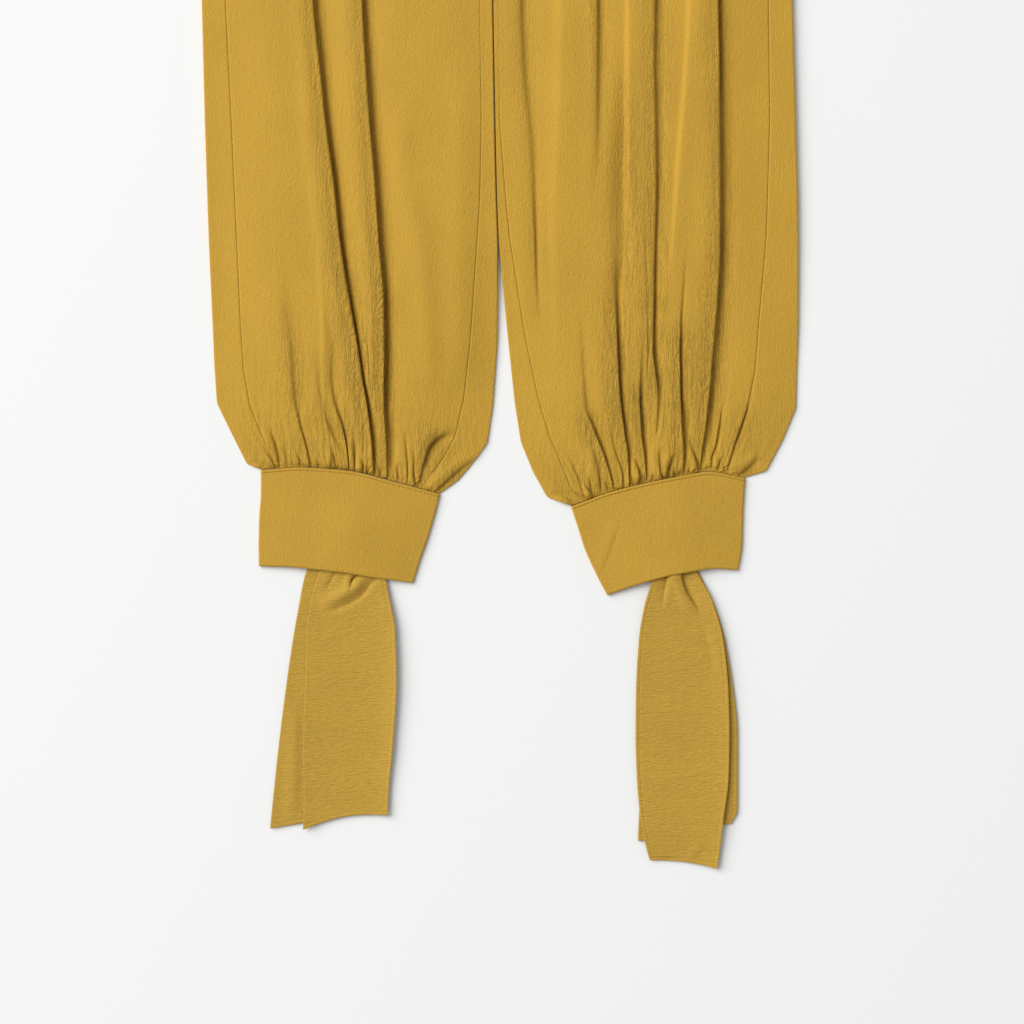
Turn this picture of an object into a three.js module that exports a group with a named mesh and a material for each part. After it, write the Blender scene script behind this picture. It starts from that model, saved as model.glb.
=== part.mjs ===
import * as THREE from "three";

// Harem trousers of light crepe, laid flat on a table with the front up. Each leg is gathered into
// a deep cuff that is open behind, and the cuff's two ties are knotted there with their tails below.
// Millimetres: +Y runs up to the waist, +X is the wearer's left, the table is z = 0.
// In every table, side 0 is the edge of a piece towards -X and side 1 its edge towards +X.

const CLOTH = 1.0; // wall of one layer of cloth
const BAND = 1.6; // wall of the doubled cloth of the cuffs and the waistband
const GAP = 0.3; // clearance at seams and between layers that lie on each other
const CENTRE = -4.5; // x of the line between the legs and of the centre seams
const CROTCH = 250; // y where the legs join
const WAIST_SEAM = 596.7; // y where the panels meet the waistband
const WAIST_TOP = 642; // y of the waistband's upper edge

const CREPE = new THREE.MeshStandardMaterial({ color: 0xc39a3c, roughness: 0.85, metalness: 0 });

const { clamp, lerp, smoothstep } = THREE.MathUtils;

// Value of a table's column at a fractional row
function between(table, column, place) {
  const row = Math.min(Math.floor(place), table.length - 2);
  return lerp(table[row][column], table[row + 1][column], place - row);
}

// Smooth curve through values at the given places, as a function
function curveThrough(places, values) {
  const curve = new THREE.CubicInterpolant(places, values, 1, [0]);
  return (place) => curve.evaluate(clamp(place, places[0], places.at(-1)))[0];
}

// A row of mid-surface points moved half the thickness to one side, square to the row seen along Y
function offsetRow(row, reach, closed) {
  const count = row.length;
  return row.map((point, i) => {
    const before = row[closed ? (i + count - 1) % count : Math.max(i - 1, 0)];
    const after = row[closed ? (i + 1) % count : Math.min(i + 1, count - 1)];
    const into = new THREE.Vector2(point.x - before.x, point.z - before.z).normalize();
    const out = new THREE.Vector2(after.x - point.x, after.z - point.z).normalize();
    const along = into.clone().add(out).normalize();
    const mitre = reach / Math.max(along.dot(into), along.dot(out));
    return new THREE.Vector3(point.x - along.y * mitre, point.y, point.z + along.x * mitre);
  });
}

// Closed wall on a grid of mid-surface points: the kept cells are skinned on both sides and round
// every free edge
function wallOf(rows, thickness, { closed = false, kept = () => true } = {}) {
  const count = rows[0].length;
  const cells = closed ? count : count - 1;
  const skins = [thickness / 2, -thickness / 2].map((reach) => rows.map((row) => offsetRow(row, reach, closed)));
  const at = (skin, row, i) => (skin * rows.length + row) * count + (i % count);
  const isKept = (row, i) => {
    const inside = row >= 0 && row < rows.length - 1 && (closed || (i >= 0 && i < cells));
    return inside && kept(row, i);
  };
  const indices = [];
  const quad = (a, b, c, d) => indices.push(a, b, c, a, c, d);
  const edge = (row, i, nextRow, nextI) => {
    quad(at(1, row, i), at(1, nextRow, nextI), at(0, nextRow, nextI), at(0, row, i));
  };
  for (let row = 0; row < rows.length - 1; row += 1) {
    for (let i = 0; i < cells; i += 1) {
      if (!isKept(row, i)) continue;
      quad(at(0, row, i), at(0, row, i + 1), at(0, row + 1, i + 1), at(0, row + 1, i));
      quad(at(1, row, i), at(1, row + 1, i), at(1, row + 1, i + 1), at(1, row, i + 1));
      if (!isKept(row - 1, i)) edge(row, i, row, i + 1);
      if (!isKept(row + 1, i)) edge(row + 1, i + 1, row + 1, i);
      if (!isKept(row, i - 1)) edge(row + 1, i, row, i);
      if (!isKept(row, i + 1)) edge(row, i + 1, row + 1, i + 1);
    }
  }
  return geometryOf(skins.flat(2), indices);
}

// Geometry of triangles, with only the points that they use
function geometryOf(points, indices) {
  const used = [...new Set(indices)];
  const renumbered = new Map(used.map((index, place) => [index, place]));
  const positions = used.flatMap((index) => points[index].toArray());
  const geometry = new THREE.BufferGeometry();
  geometry.setAttribute("position", new THREE.Float32BufferAttribute(positions, 3));
  geometry.setIndex(indices.map((index) => renumbered.get(index)));
  geometry.computeVertexNormals();
  return geometry;
}

const trousers = new THREE.Group();

function addPiece(name, geometry) {
  const mesh = new THREE.Mesh(geometry, CREPE);
  mesh.name = name;
  trousers.add(mesh);
}

// ---- Cuffs
// Each cuff is a flat tube of doubled cloth whose front lies over two wings. Its seam edge and its
// hem rise between their ends by the heights given at even steps. The wings stop short of each
// other, by a slanted opening that is widest at the hem, and the knot and the ties lie in it.

const CUFFS = {
  right: {
    seam: { x0: -214.2, y0: -283.8, x1: -53.1, y1: -305.4, rise: [0, 7.6, 9.9, 5.4, 0] },
    hem: { x0: -216.0, y0: -370.2, x1: -77.4, y1: -385.5, rise: [0, 2.3, 2.5, 1, 0] },
    wings: { hem0: 37, hem1: 19, seam0: 80, seam1: 74 },
  },
  left: {
    seam: { x0: 64.8, y0: -316.7, x1: 221.4, y1: -291.0, rise: [0, 7.7, 10.6, 11.6, 0] },
    hem: { x0: 97.2, y0: -396.3, x1: 215.1, y1: -373.8, rise: [0, 4.3, 6.6, 6.3, 0] },
    wings: { hem0: 34, hem1: 26, seam0: 76, seam1: 60 },
  },
};

const CUFF_DOME = 3.4; // how far the knot lifts the cuff's front
const CUFF_ROWS = 4;
const CUFF_FRONT_CELLS = 14;
const CUFF_WING_CELLS = 2;
const BEND_CELLS = 3; // cells round the fold at an edge of any piece

// How high a layer that is tucked in at both edges stands up, from 0 at the edges to 1
const dome = (across) => 1 - (2 * across - 1) ** 4;

// y along a cuff's seam edge or hem
function edgeHeight({ y0, y1, rise }) {
  const lift = curveThrough(rise.map((height, step) => step / (rise.length - 1)), rise);
  return (across) => lerp(y0, y1, across) + lift(clamp(across, 0, 1));
}

// Points of half a turn at the fold on side 0 or 1, from the layer below to the layer above
function bendPoints(side, edge, y, low, high) {
  const radius = (high - low) / 2;
  const outward = side === 0 ? -1 : 1;
  return Array.from({ length: BEND_CELLS + 1 }, (_, i) => {
    const angle = -Math.PI / 2 + (Math.PI * i) / BEND_CELLS;
    return new THREE.Vector3(edge + outward * radius * Math.cos(angle), y, low + radius * (1 + Math.sin(angle)));
  });
}

function cuff({ seam, hem, wings }) {
  const low = BAND / 2;
  const high = low + BAND + GAP;
  const inset = (high - low + BAND) / 2; // from a fold's outside to where its turn begins
  const seamHeight = edgeHeight(seam);
  const hemHeight = edgeHeight(hem);
  const rows = Array.from({ length: CUFF_ROWS + 1 }, (_, row) => {
    const up = row / CUFF_ROWS;
    const x0 = lerp(hem.x0, seam.x0, up) + inset;
    const x1 = lerp(hem.x1, seam.x1, up) - inset;
    const point = (x, z) => {
      const across = (x - x0) / (x1 - x0);
      return new THREE.Vector3(x, lerp(hemHeight(across), seamHeight(across), up), z);
    };
    const wing = (from, to) => Array.from({ length: CUFF_WING_CELLS }, (_, i) => (
      point(lerp(from, to, i / CUFF_WING_CELLS), low)));
    const front = Array.from({ length: CUFF_FRONT_CELLS - 1 }, (_, i) => {
      const across = (i + 1) / CUFF_FRONT_CELLS;
      return point(lerp(x0, x1, across), high + CUFF_DOME * dome(across));
    });
    return [
      ...wing(x0 + lerp(wings.hem0, wings.seam0, up), x0),
      ...bendPoints(0, x0, point(x0, 0).y, low, high),
      ...front,
      ...bendPoints(1, x1, point(x1, 0).y, low, high).reverse(),
      ...wing(x1 - lerp(wings.hem1, wings.seam1, up), x1).reverse(),
    ];
  });
  return wallOf(rows, BAND);
}

addPiece("cuff_right", cuff(CUFFS.right));
addPiece("cuff_left", cuff(CUFFS.left));

// ---- Knots
// Plain flat knots that fill the openings behind the cuffs.

const KNOT = { width: 34, height: 28, thickness: 4.8, round: 1.8, y: -339.6 };

function knot(x) {
  const outline = new THREE.Shape();
  outline.absellipse(0, 0, KNOT.width / 2 - KNOT.round, KNOT.height / 2 - KNOT.round, 0, 2 * Math.PI);
  const geometry = new THREE.ExtrudeGeometry(outline, {
    depth: KNOT.thickness - 2 * KNOT.round, bevelThickness: KNOT.round, bevelSize: KNOT.round,
    bevelSegments: 2, curveSegments: 8,
  });
  return geometry.translate(x, KNOT.y, KNOT.round);
}

addPiece("knot_right", knot(-134.1));
addPiece("knot_left", knot(155.7));

// ---- Tie tails
// Single strips that come out of the knots pleated small, and widen to their slanted ends. The
// upper tail lies on the lower one and settles on the table beyond it. z0 and z1 are the heights of
// the layer's middle at its two edges, and pleat is the height of the pleats.

const LOW = CLOTH / 2; // mid-height of a layer on the table
const HIGH = LOW + CLOTH + GAP; // mid-height of a layer on top of it

const TIES = {
  tie_right_upper: { endRise: [0, -1, -2, -0.5, 0], sections: [
    { x0: -144.9, y0: -354.2, x1: -119.7, y1: -354.2, z0: HIGH, z1: HIGH, pleat: 1.4 },
    { x0: -161.1, y0: -374.7, x1: -101.7, y1: -383.7, z0: HIGH, z1: HIGH, pleat: 1.4 },
    { x0: -169.2, y0: -401.7, x1: -98.1, y1: -400.8, z0: HIGH, z1: HIGH, pleat: 1 },
    { x0: -172.8, y0: -429.6, x1: -94.1, y1: -427.8, z0: HIGH, z1: HIGH, pleat: 0.4 },
    { x0: -174.2, y0: -475.5, x1: -92.7, y1: -472.8, z0: HIGH, z1: LOW, pleat: 0 },
    { x0: -176.0, y0: -530.4, x1: -96.3, y1: -530.4, z0: HIGH, z1: LOW, pleat: 0 },
    { x0: -175.5, y0: -580.8, x1: -99.0, y1: -571.8, z0: HIGH, z1: LOW, pleat: 0 },
    { x0: -176.0, y0: -606.9, x1: -99.9, y1: -593.9, z0: HIGH, z1: LOW, pleat: 0 },
  ] },
  tie_right_lower: { endRise: [0, 0, 0, 0, 0], sections: [
    { x0: -146.9, y0: -354.2, x1: -124.7, y1: -354.2, z0: LOW, z1: LOW, pleat: 0 },
    { x0: -172.8, y0: -373.8, x1: -120.7, y1: -373.8, z0: LOW, z1: LOW, pleat: 0 },
    { x0: -180.0, y0: -407.1, x1: -122.7, y1: -407.1, z0: LOW, z1: LOW, pleat: 0 },
    { x0: -187.2, y0: -449.4, x1: -125.7, y1: -449.4, z0: LOW, z1: LOW, pleat: 0 },
    { x0: -194.4, y0: -502.5, x1: -128.7, y1: -502.5, z0: LOW, z1: LOW, pleat: 0 },
    { x0: -200.3, y0: -552.9, x1: -131.7, y1: -550.9, z0: LOW, z1: LOW, pleat: 0 },
    { x0: -205.7, y0: -606.0, x1: -134.7, y1: -594.0, z0: LOW, z1: LOW, pleat: 0 },
  ] },
  tie_left_upper: { endRise: [0, 1.6, 2.2, 1.6, 0], sections: [
    { x0: 144.9, y0: -354.2, x1: 167.4, y1: -354.2, z0: HIGH, z1: HIGH, pleat: 1.4 },
    { x0: 137.7, y0: -382.8, x1: 177.8, y1: -375.6, z0: HIGH, z1: HIGH, pleat: 1.4 },
    { x0: 131.0, y0: -405.3, x1: 191.3, y1: -400.8, z0: HIGH, z1: HIGH, pleat: 1 },
    { x0: 126.0, y0: -435.0, x1: 202.1, y1: -440.4, z0: HIGH, z1: HIGH, pleat: 0.4 },
    { x0: 123.3, y0: -483.6, x1: 206.1, y1: -483.6, z0: HIGH, z1: HIGH, pleat: 0 },
    { x0: 122.9, y0: -522.3, x1: 207.0, y1: -522.3, z0: HIGH, z1: HIGH, pleat: 0 },
    { x0: 124.2, y0: -561.9, x1: 206.1, y1: -561.9, z0: HIGH, z1: HIGH, pleat: 0 },
    { x0: 127.8, y0: -600.6, x1: 201.8, y1: -597.0, z0: HIGH, z1: HIGH, pleat: 0 },
    { x0: 132.2, y0: -622.0, x1: 199.2, y1: -620.0, z0: HIGH, z1: HIGH, pleat: 0 },
    { x0: 135.5, y0: -634.4, x1: 196.2, y1: -642.0, z0: LOW, z1: LOW, pleat: 0 },
  ] },
  tie_left_lower: { endRise: [0, 0, 0, 0, 0], sections: [
    { x0: 146.9, y0: -354.2, x1: 165.4, y1: -354.2, z0: LOW, z1: LOW, pleat: 0 },
    { x0: 140.7, y0: -376.0, x1: 179.8, y1: -376.0, z0: LOW, z1: LOW, pleat: 0 },
    { x0: 130.7, y0: -425.1, x1: 200.3, y1: -425.1, z0: LOW, z1: LOW, pleat: 0 },
    { x0: 126.0, y0: -463.8, x1: 207.9, y1: -463.8, z0: LOW, z1: LOW, pleat: 0 },
    { x0: 126.0, y0: -522.3, x1: 214.2, y1: -522.3, z0: LOW, z1: LOW, pleat: 0 },
    { x0: 126.6, y0: -580.8, x1: 214.2, y1: -580.8, z0: LOW, z1: LOW, pleat: 0 },
    { x0: 125.1, y0: -617.4, x1: 211.5, y1: -600.6, z0: LOW, z1: LOW, pleat: 0 },
  ] },
};

const TIE_CELLS = 8; // cells across a tail
const SETTLE_FROM = 0.6; // where across a tail it starts to come down to z1
const SETTLE_TO = 0.95;

function tail({ sections, endRise }) {
  const lift = curveThrough(endRise.map((height, step) => step / (endRise.length - 1)), endRise);
  const rows = sections.toReversed().map(({ x0, y0, x1, y1, z0, z1, pleat }, row) => (
    Array.from({ length: TIE_CELLS + 1 }, (_, i) => {
      const across = i / TIE_CELLS;
      const y = lerp(y0, y1, across) + (row === 0 ? lift(across) : 0);
      const z = lerp(z0, z1, smoothstep(across, SETTLE_FROM, SETTLE_TO)) + (i % 2) * pleat;
      return new THREE.Vector3(lerp(x0, x1, across), y, z);
    })));
  return wallOf(rows, CLOTH);
}

Object.entries(TIES).forEach(([name, tie]) => addPiece(name, tail(tie)));

// ---- Legs
// A row for each section from the cuff to the waist: the two edges of the laid leg, the width of
// back panel that is turned onto the front at each edge, how far the section follows the cuff's
// curved seam, and how high the front puffs up in its middle. After the crotch the panels have no
// inner fold, and meet at the centre seams.

const RIGHT_SECTIONS = [
  { x0: -214.2, y0: -283.5, x1: -53.1, y1: -305.1, wrap0: 14, wrap1: 17, follow: 1, puff: 3.8 },
  { x0: -226.8, y0: -278.4, x1: -36.9, y1: -293.7, wrap0: 24, wrap1: 25, follow: 0.9, puff: 4.2 },
  { x0: -240.3, y0: -251.4, x1: -23.4, y1: -279.3, wrap0: 27, wrap1: 27, follow: 0.6, puff: 5 },
  { x0: -253.8, y0: -223.5, x1: -9.0, y1: -259.5, wrap0: 30, wrap1: 30, follow: 0.3, puff: 5 },
  { x0: -256.1, y0: -189.3, x1: -5.4, y1: -225.3, wrap0: 25.5, wrap1: 26.5, follow: 0.1, puff: 4.5 },
  { x0: -257.4, y0: -157.8, x1: -2.7, y1: -166.8, wrap0: 24, wrap1: 22.5, follow: 0, puff: 4 },
  { x0: -261.0, y0: -76.8, x1: -1.8, y1: -76.8, wrap0: 24.5, wrap1: 17, follow: 0, puff: 4 },
  { x0: -264.6, y0: 31.2, x1: -3.6, y1: 31.2, wrap0: 22, wrap1: 11.5, follow: 0, puff: 4 },
  { x0: -267.3, y0: 139.2, x1: -5.2, y1: 139.2, wrap0: 21.6, wrap1: 12, follow: 0, puff: 4 },
  { x0: -268.2, y0: CROTCH, x1: -5.2, y1: CROTCH, wrap0: 21, wrap1: 4, follow: 0, puff: 4 },
  { x0: -268.2, y0: CROTCH + 4, x1: CENTRE, y1: CROTCH + 4, wrap0: 21, wrap1: 0, follow: 0, puff: 4 },
  { x0: -265.5, y0: 360, x1: CENTRE, y1: 360, wrap0: 20, wrap1: 0, follow: 0, puff: 4 },
  { x0: -253.0, y0: 460, x1: CENTRE, y1: 460, wrap0: 17, wrap1: 0, follow: 0, puff: 4 },
  { x0: -224.0, y0: 545, x1: CENTRE, y1: 545, wrap0: 14, wrap1: 0, follow: 0, puff: 3.5 },
  { x0: -184.5, y0: WAIST_SEAM, x1: CENTRE, y1: WAIST_SEAM, wrap0: 10, wrap1: 0, follow: 0, puff: 1.5 },
];

const LEFT_SECTIONS = [
  { x0: 64.8, y0: -316.4, x1: 221.4, y1: -290.7, wrap0: 12, wrap1: 15, follow: 1, puff: 3.8 },
  { x0: 48.6, y0: -309.9, x1: 242.1, y1: -284.7, wrap0: 21.5, wrap1: 31, follow: 0.9, puff: 4.2 },
  { x0: 32.4, y0: -285.6, x1: 255.6, y1: -255.9, wrap0: 27, wrap1: 38, follow: 0.6, puff: 5 },
  { x0: 19.8, y0: -258.6, x1: 268.2, y1: -228.0, wrap0: 26, wrap1: 44, follow: 0.3, puff: 5 },
  { x0: 14.4, y0: -222.6, x1: 268.2, y1: -193.8, wrap0: 21, wrap1: 38, follow: 0.1, puff: 4.5 },
  { x0: 8.6, y0: -162.3, x1: 268.2, y1: -153.3, wrap0: 14.5, wrap1: 35, follow: 0, puff: 4 },
  { x0: 0.9, y0: -76.8, x1: 268.2, y1: -76.8, wrap0: 10.5, wrap1: 28, follow: 0, puff: 4 },
  { x0: -2.5, y0: 31.2, x1: 266.4, y1: 31.2, wrap0: 4, wrap1: 23, follow: 0, puff: 4 },
  { x0: -3.8, y0: 139.2, x1: 263.7, y1: 139.2, wrap0: 4, wrap1: 21.6, follow: 0, puff: 4 },
  { x0: -3.8, y0: CROTCH, x1: 263.7, y1: CROTCH, wrap0: 4, wrap1: 21, follow: 0, puff: 4 },
  { x0: CENTRE, y0: CROTCH + 4, x1: 263.7, y1: CROTCH + 4, wrap0: 0, wrap1: 21, follow: 0, puff: 4 },
  { x0: CENTRE, y0: 360, x1: 260.0, y1: 360, wrap0: 0, wrap1: 20, follow: 0, puff: 4 },
  { x0: CENTRE, y0: 460, x1: 245.0, y1: 460, wrap0: 0, wrap1: 17, follow: 0, puff: 4 },
  { x0: CENTRE, y0: 545, x1: 215.0, y1: 545, wrap0: 0, wrap1: 14, follow: 0, puff: 3.5 },
  { x0: CENTRE, y0: WAIST_SEAM, x1: 175.5, y1: WAIST_SEAM, wrap0: 0, wrap1: 10, follow: 0, puff: 1.5 },
];

const CROTCH_SECTION = 9; // the last section with an inner fold
const LONG_STRETCH = 107; // sections further apart than this get a row halfway between them
const WRAP_CELLS = 2; // cells across the back panel's turned edge
const FLAT_CELLS = 10; // cells across its stretch on the table

// Fractional rows of a table of sections where the mesh has its rows
function rowPlaces(sections) {
  return sections.flatMap(({ y0 }, i) => {
    const isLong = i > 0 && y0 - sections[i - 1].y0 > LONG_STRETCH;
    return isLong ? [i - 0.5, i] : [i];
  });
}

// One section of a leg: its edges, the seams on its front, its puff, and y along it
function sectionAt(sections, place, seamRise) {
  const [x0, x1, y0, y1] = ["x0", "x1", "y0", "y1"].map((column) => between(sections, column, place));
  const follow = between(sections, "follow", place);
  const heightAt = (x) => {
    const across = clamp((x - x0) / (x1 - x0), 0, 1);
    return lerp(y0, y1, across) + follow * seamRise(across);
  };
  const seam0 = x0 + between(sections, "wrap0", place);
  const seam1 = x1 - between(sections, "wrap1", place);
  return { x0, x1, seam0, seam1, puff: between(sections, "puff", place), heightAt };
}

// ---- Back panels
// Flat on the table, folded up at each edge of the leg and turned onto the front as far as the seam.

function backPanel(sections, seamRise, innerSide) {
  const places = rowPlaces(sections);
  const rows = places.map((place) => {
    const { x0, x1, seam0, seam1, heightAt } = sectionAt(sections, place, seamRise);
    const inset = (HIGH - LOW + CLOTH) / 2; // from a fold's outside to where its turn begins
    const joined = place > CROTCH_SECTION;
    const edge0 = x0 + (joined && innerSide === 0 ? GAP / 2 : inset);
    const edge1 = x1 - (joined && innerSide === 1 ? GAP / 2 : inset);
    const turned = (seam, edge) => Array.from({ length: WRAP_CELLS }, (_, i) => {
      const x = lerp(seam, edge, i / WRAP_CELLS);
      return new THREE.Vector3(x, heightAt(x), HIGH);
    });
    const flat = Array.from({ length: FLAT_CELLS - 1 }, (_, i) => {
      const x = lerp(edge0, edge1, (i + 1) / FLAT_CELLS);
      return new THREE.Vector3(x, heightAt(x), LOW);
    });
    return [
      ...turned(seam0 - GAP / 2, edge0),
      ...bendPoints(0, edge0, heightAt(edge0), LOW, HIGH).reverse(),
      ...flat,
      ...bendPoints(1, edge1, heightAt(edge1), LOW, HIGH),
      ...turned(seam1 + GAP / 2, edge1).reverse(),
    ];
  });
  const turnCells = WRAP_CELLS + BEND_CELLS;
  const isInner = (i) => (innerSide === 0 ? i < turnCells : i >= turnCells + FLAT_CELLS);
  const kept = (row, i) => !(isInner(i) && places[row] >= CROTCH_SECTION);
  return wallOf(rows, CLOTH, { kept });
}

// ---- Front panels
// Each front's largest folds: the panel's column that runs in the fold, x of the fold at the
// heights of FOLD_HEIGHTS, its depth as a part of the puff, and the heights where it starts to die
// out and is gone. A fold is a crest with its steep side towards +X.

const FOLD_HEIGHTS = { cuff: -284, ankle: -221, shin: -158, knee: -77, thigh: 85, crotch: 250, waist: 597 };

const RIGHT_FOLDS = [
  { column: 6, cuff: -170, ankle: -183, shin: -188, knee: -190, thigh: -190, crotch: -190, waist: -140,
    depth: 0.45, from: -250, to: -130 },
  { column: 11, cuff: -136, ankle: -144, shin: -150, knee: -158, thigh: -172, crotch: -176, waist: -108,
    depth: 0.45, from: -200, to: -60 },
  { column: 15, cuff: -113, ankle: -118, shin: -128, knee: -143, thigh: -158, crotch: -160, waist: -84,
    depth: 0.75, from: 700, to: 900 },
  { column: 19, cuff: -101, ankle: -103, shin: -103, knee: -107, thigh: -117, crotch: -121, waist: -60,
    depth: 0.75, from: 700, to: 900 },
  { column: 25, cuff: -76, ankle: -52, shin: -44, knee: -44, thigh: -46, crotch: -46, waist: -28,
    depth: 0.45, from: -262, to: -210 },
];

const LEFT_FOLDS = [
  { column: 4, cuff: 86, ankle: 50, shin: 37, knee: 32, thigh: 26, crotch: 24, waist: 28,
    depth: 0.3, from: 700, to: 900 },
  { column: 8, cuff: 101, ankle: 80, shin: 73, knee: 68, thigh: 60, crotch: 56, waist: 50,
    depth: 0.45, from: -180, to: -80 },
  { column: 12, cuff: 116, ankle: 110, shin: 106, knee: 102, thigh: 92, crotch: 86, waist: 72,
    depth: 0.65, from: 700, to: 900 },
  { column: 16, cuff: 131, ankle: 139, shin: 138, knee: 140, thigh: 140, crotch: 140, waist: 97,
    depth: 0.65, from: 700, to: 900 },
  { column: 20, cuff: 165, ankle: 165, shin: 166, knee: 168, thigh: 172, crotch: 174, waist: 118,
    depth: 0.5, from: -160, to: -60 },
  { column: 24, cuff: 181, ankle: 190, shin: 196, knee: 200, thigh: 199, crotch: 197, waist: 140,
    depth: 0.75, from: 700, to: 900 },
];

const FRONT_CELLS = 28; // cells across a front panel
const FOLD_FLANK = 3; // width of a fold's steep side
const GATHER_RISE = 1.4; // height of the gathers at a seam
const GATHER_REACH = 26; // how far from the seam they fade

// Columns that a front panel's row is hung from: its two edges, and the two sides of each fold
function foldAnchors(section, folds) {
  const anchors = folds.flatMap((fold) => {
    const pathX = curveThrough(Object.values(FOLD_HEIGHTS), Object.keys(FOLD_HEIGHTS).map((name) => fold[name]));
    const x = pathX(section.heightAt(pathX(section.heightAt((section.x0 + section.x1) / 2))));
    const lift = fold.depth * (1 - smoothstep(section.heightAt(x), fold.from, fold.to));
    return [
      { column: fold.column - 1, x: x - FOLD_FLANK, lift },
      { column: fold.column, x, lift: -lift },
    ];
  });
  return [
    { column: 0, x: section.seam0 + GAP / 2, lift: 0 },
    ...anchors,
    { column: FRONT_CELLS, x: section.seam1 - GAP / 2, lift: 0 },
  ];
}

function frontPanel(sections, folds, seamRise) {
  const rows = rowPlaces(sections).map((place) => {
    const section = sectionAt(sections, place, seamRise);
    const anchors = foldAnchors(section, folds);
    const middle = section.heightAt((section.x0 + section.x1) / 2);
    const fromSeam = Math.min(middle - sections[0].y0, WAIST_SEAM - middle);
    const gather = GATHER_RISE * Math.exp(-Math.max(fromSeam, 0) / GATHER_REACH);
    return Array.from({ length: FRONT_CELLS + 1 }, (_, column) => {
      const next = Math.max(1, anchors.findIndex((anchor) => anchor.column >= column));
      const [before, after] = [anchors[next - 1], anchors[next]];
      const part = (column - before.column) / (after.column - before.column);
      const x = lerp(before.x, after.x, part);
      const across = (x - anchors[0].x) / (anchors.at(-1).x - anchors[0].x);
      const rise = section.puff * (1 + lerp(before.lift, after.lift, part)) + (column % 2) * gather;
      return new THREE.Vector3(x, section.heightAt(x), HIGH + dome(across) * rise);
    });
  });
  return wallOf(rows, CLOTH);
}

const seamRise = ({ rise }) => curveThrough(rise.map((height, step) => step / (rise.length - 1)), rise);
const rightRise = seamRise(CUFFS.right.seam);
const leftRise = seamRise(CUFFS.left.seam);

addPiece("back_right", backPanel(RIGHT_SECTIONS, rightRise, 1));
addPiece("back_left", backPanel(LEFT_SECTIONS, leftRise, 0));
addPiece("front_right", frontPanel(RIGHT_SECTIONS, RIGHT_FOLDS, rightRise));
addPiece("front_left", frontPanel(LEFT_SECTIONS, LEFT_FOLDS, leftRise));

// ---- Waistband
// A flat ring of doubled cloth, gathered a little by its elastic.

const WAISTBAND = { x0: -184.5, x1: 175.5, topInset: 3, rows: 1, cells: 24, ripple: 0.25 };

function waistband({ x0, x1, topInset, rows, cells, ripple }) {
  const low = BAND / 2;
  const high = low + BAND + GAP;
  const inset = (high - low + BAND) / 2;
  const grid = Array.from({ length: rows + 1 }, (_, row) => {
    const y = lerp(WAIST_SEAM + GAP, WAIST_TOP, row / rows);
    const edge0 = x0 + inset + topInset * (row / rows);
    const edge1 = x1 - inset - topInset * (row / rows);
    const inner = Array.from({ length: cells - 1 }, (_, i) => (i + 1) / cells);
    const back = inner.map((part) => new THREE.Vector3(lerp(edge1, edge0, part), y, low));
    const front = inner.map((part, i) => (
      new THREE.Vector3(lerp(edge0, edge1, part), y, high + ripple * (1 + (i % 2)))));
    return [
      ...bendPoints(0, edge0, y, low, high), ...front,
      ...bendPoints(1, edge1, y, low, high).reverse(), ...back,
    ];
  });
  return wallOf(grid, BAND, { closed: true });
}

addPiece("waistband", waistband(WAISTBAND));

export default trousers;
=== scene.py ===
import bpy
import numpy as np
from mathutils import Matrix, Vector


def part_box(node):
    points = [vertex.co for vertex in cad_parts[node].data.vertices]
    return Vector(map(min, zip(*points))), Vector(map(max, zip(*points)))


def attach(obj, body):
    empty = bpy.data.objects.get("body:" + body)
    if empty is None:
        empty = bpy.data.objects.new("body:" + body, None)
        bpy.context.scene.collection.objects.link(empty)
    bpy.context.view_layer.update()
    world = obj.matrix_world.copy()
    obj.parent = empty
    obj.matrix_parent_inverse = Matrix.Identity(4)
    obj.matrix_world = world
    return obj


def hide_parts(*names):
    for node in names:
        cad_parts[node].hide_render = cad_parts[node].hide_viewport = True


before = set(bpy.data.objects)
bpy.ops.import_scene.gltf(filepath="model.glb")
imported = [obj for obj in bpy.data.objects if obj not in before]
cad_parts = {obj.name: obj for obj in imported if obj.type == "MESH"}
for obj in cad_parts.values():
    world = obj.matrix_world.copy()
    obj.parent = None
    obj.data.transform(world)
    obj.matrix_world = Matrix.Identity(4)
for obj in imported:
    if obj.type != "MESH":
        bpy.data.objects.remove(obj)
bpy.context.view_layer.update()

# Harem trousers of mustard crepe, laid flat on a pale table with the front up. Lengths in the tables
# are millimetres in the frame's axes: +Y runs up to the waist, +X is the wearer's left. In every
# table, side 0 is the edge of a piece towards -X and side 1 its edge towards +X.


# ---- Table, light and camera ---------------------------------------------------------------------
# A pale matt table, a large soft lamp at the upper left, weak light all round, and a long lens
# straight above, which sees the legs from the middle of the thighs to the ends of the ties.

def fill(node, values):
    """Sets a node's inputs by their names"""
    for name, value in values.items():
        node.inputs[name].default_value = value


TABLE_SIDE = 18  # metres
TABLE_DROP = 0.0004  # metres from the cloth's underside down to the table

corners = [(side_x * TABLE_SIDE / 2, side_y * TABLE_SIDE / 2, -TABLE_DROP)
           for side_x, side_y in ((-1, -1), (1, -1), (1, 1), (-1, 1))]
table_mesh = bpy.data.meshes.new("table")
table_mesh.from_pydata(corners, [], [(0, 1, 2, 3)])
table_top = bpy.data.objects.new("table", table_mesh)
bpy.context.collection.objects.link(table_top)

paint = bpy.data.materials.new("table_paint")
paint.use_nodes = True
fill(paint.node_tree.nodes["Principled BSDF"], {
    "Base Color": (0.84, 0.848, 0.84, 1),
    "Roughness": 0.9,
    "Specular IOR Level": 0.1,
})
table_mesh.materials.append(paint)

LAMP_PLACE = Vector((-8.0, 4.2, 7.5))
LAMP_AIM = Vector((0, -0.3, 0))

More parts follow.
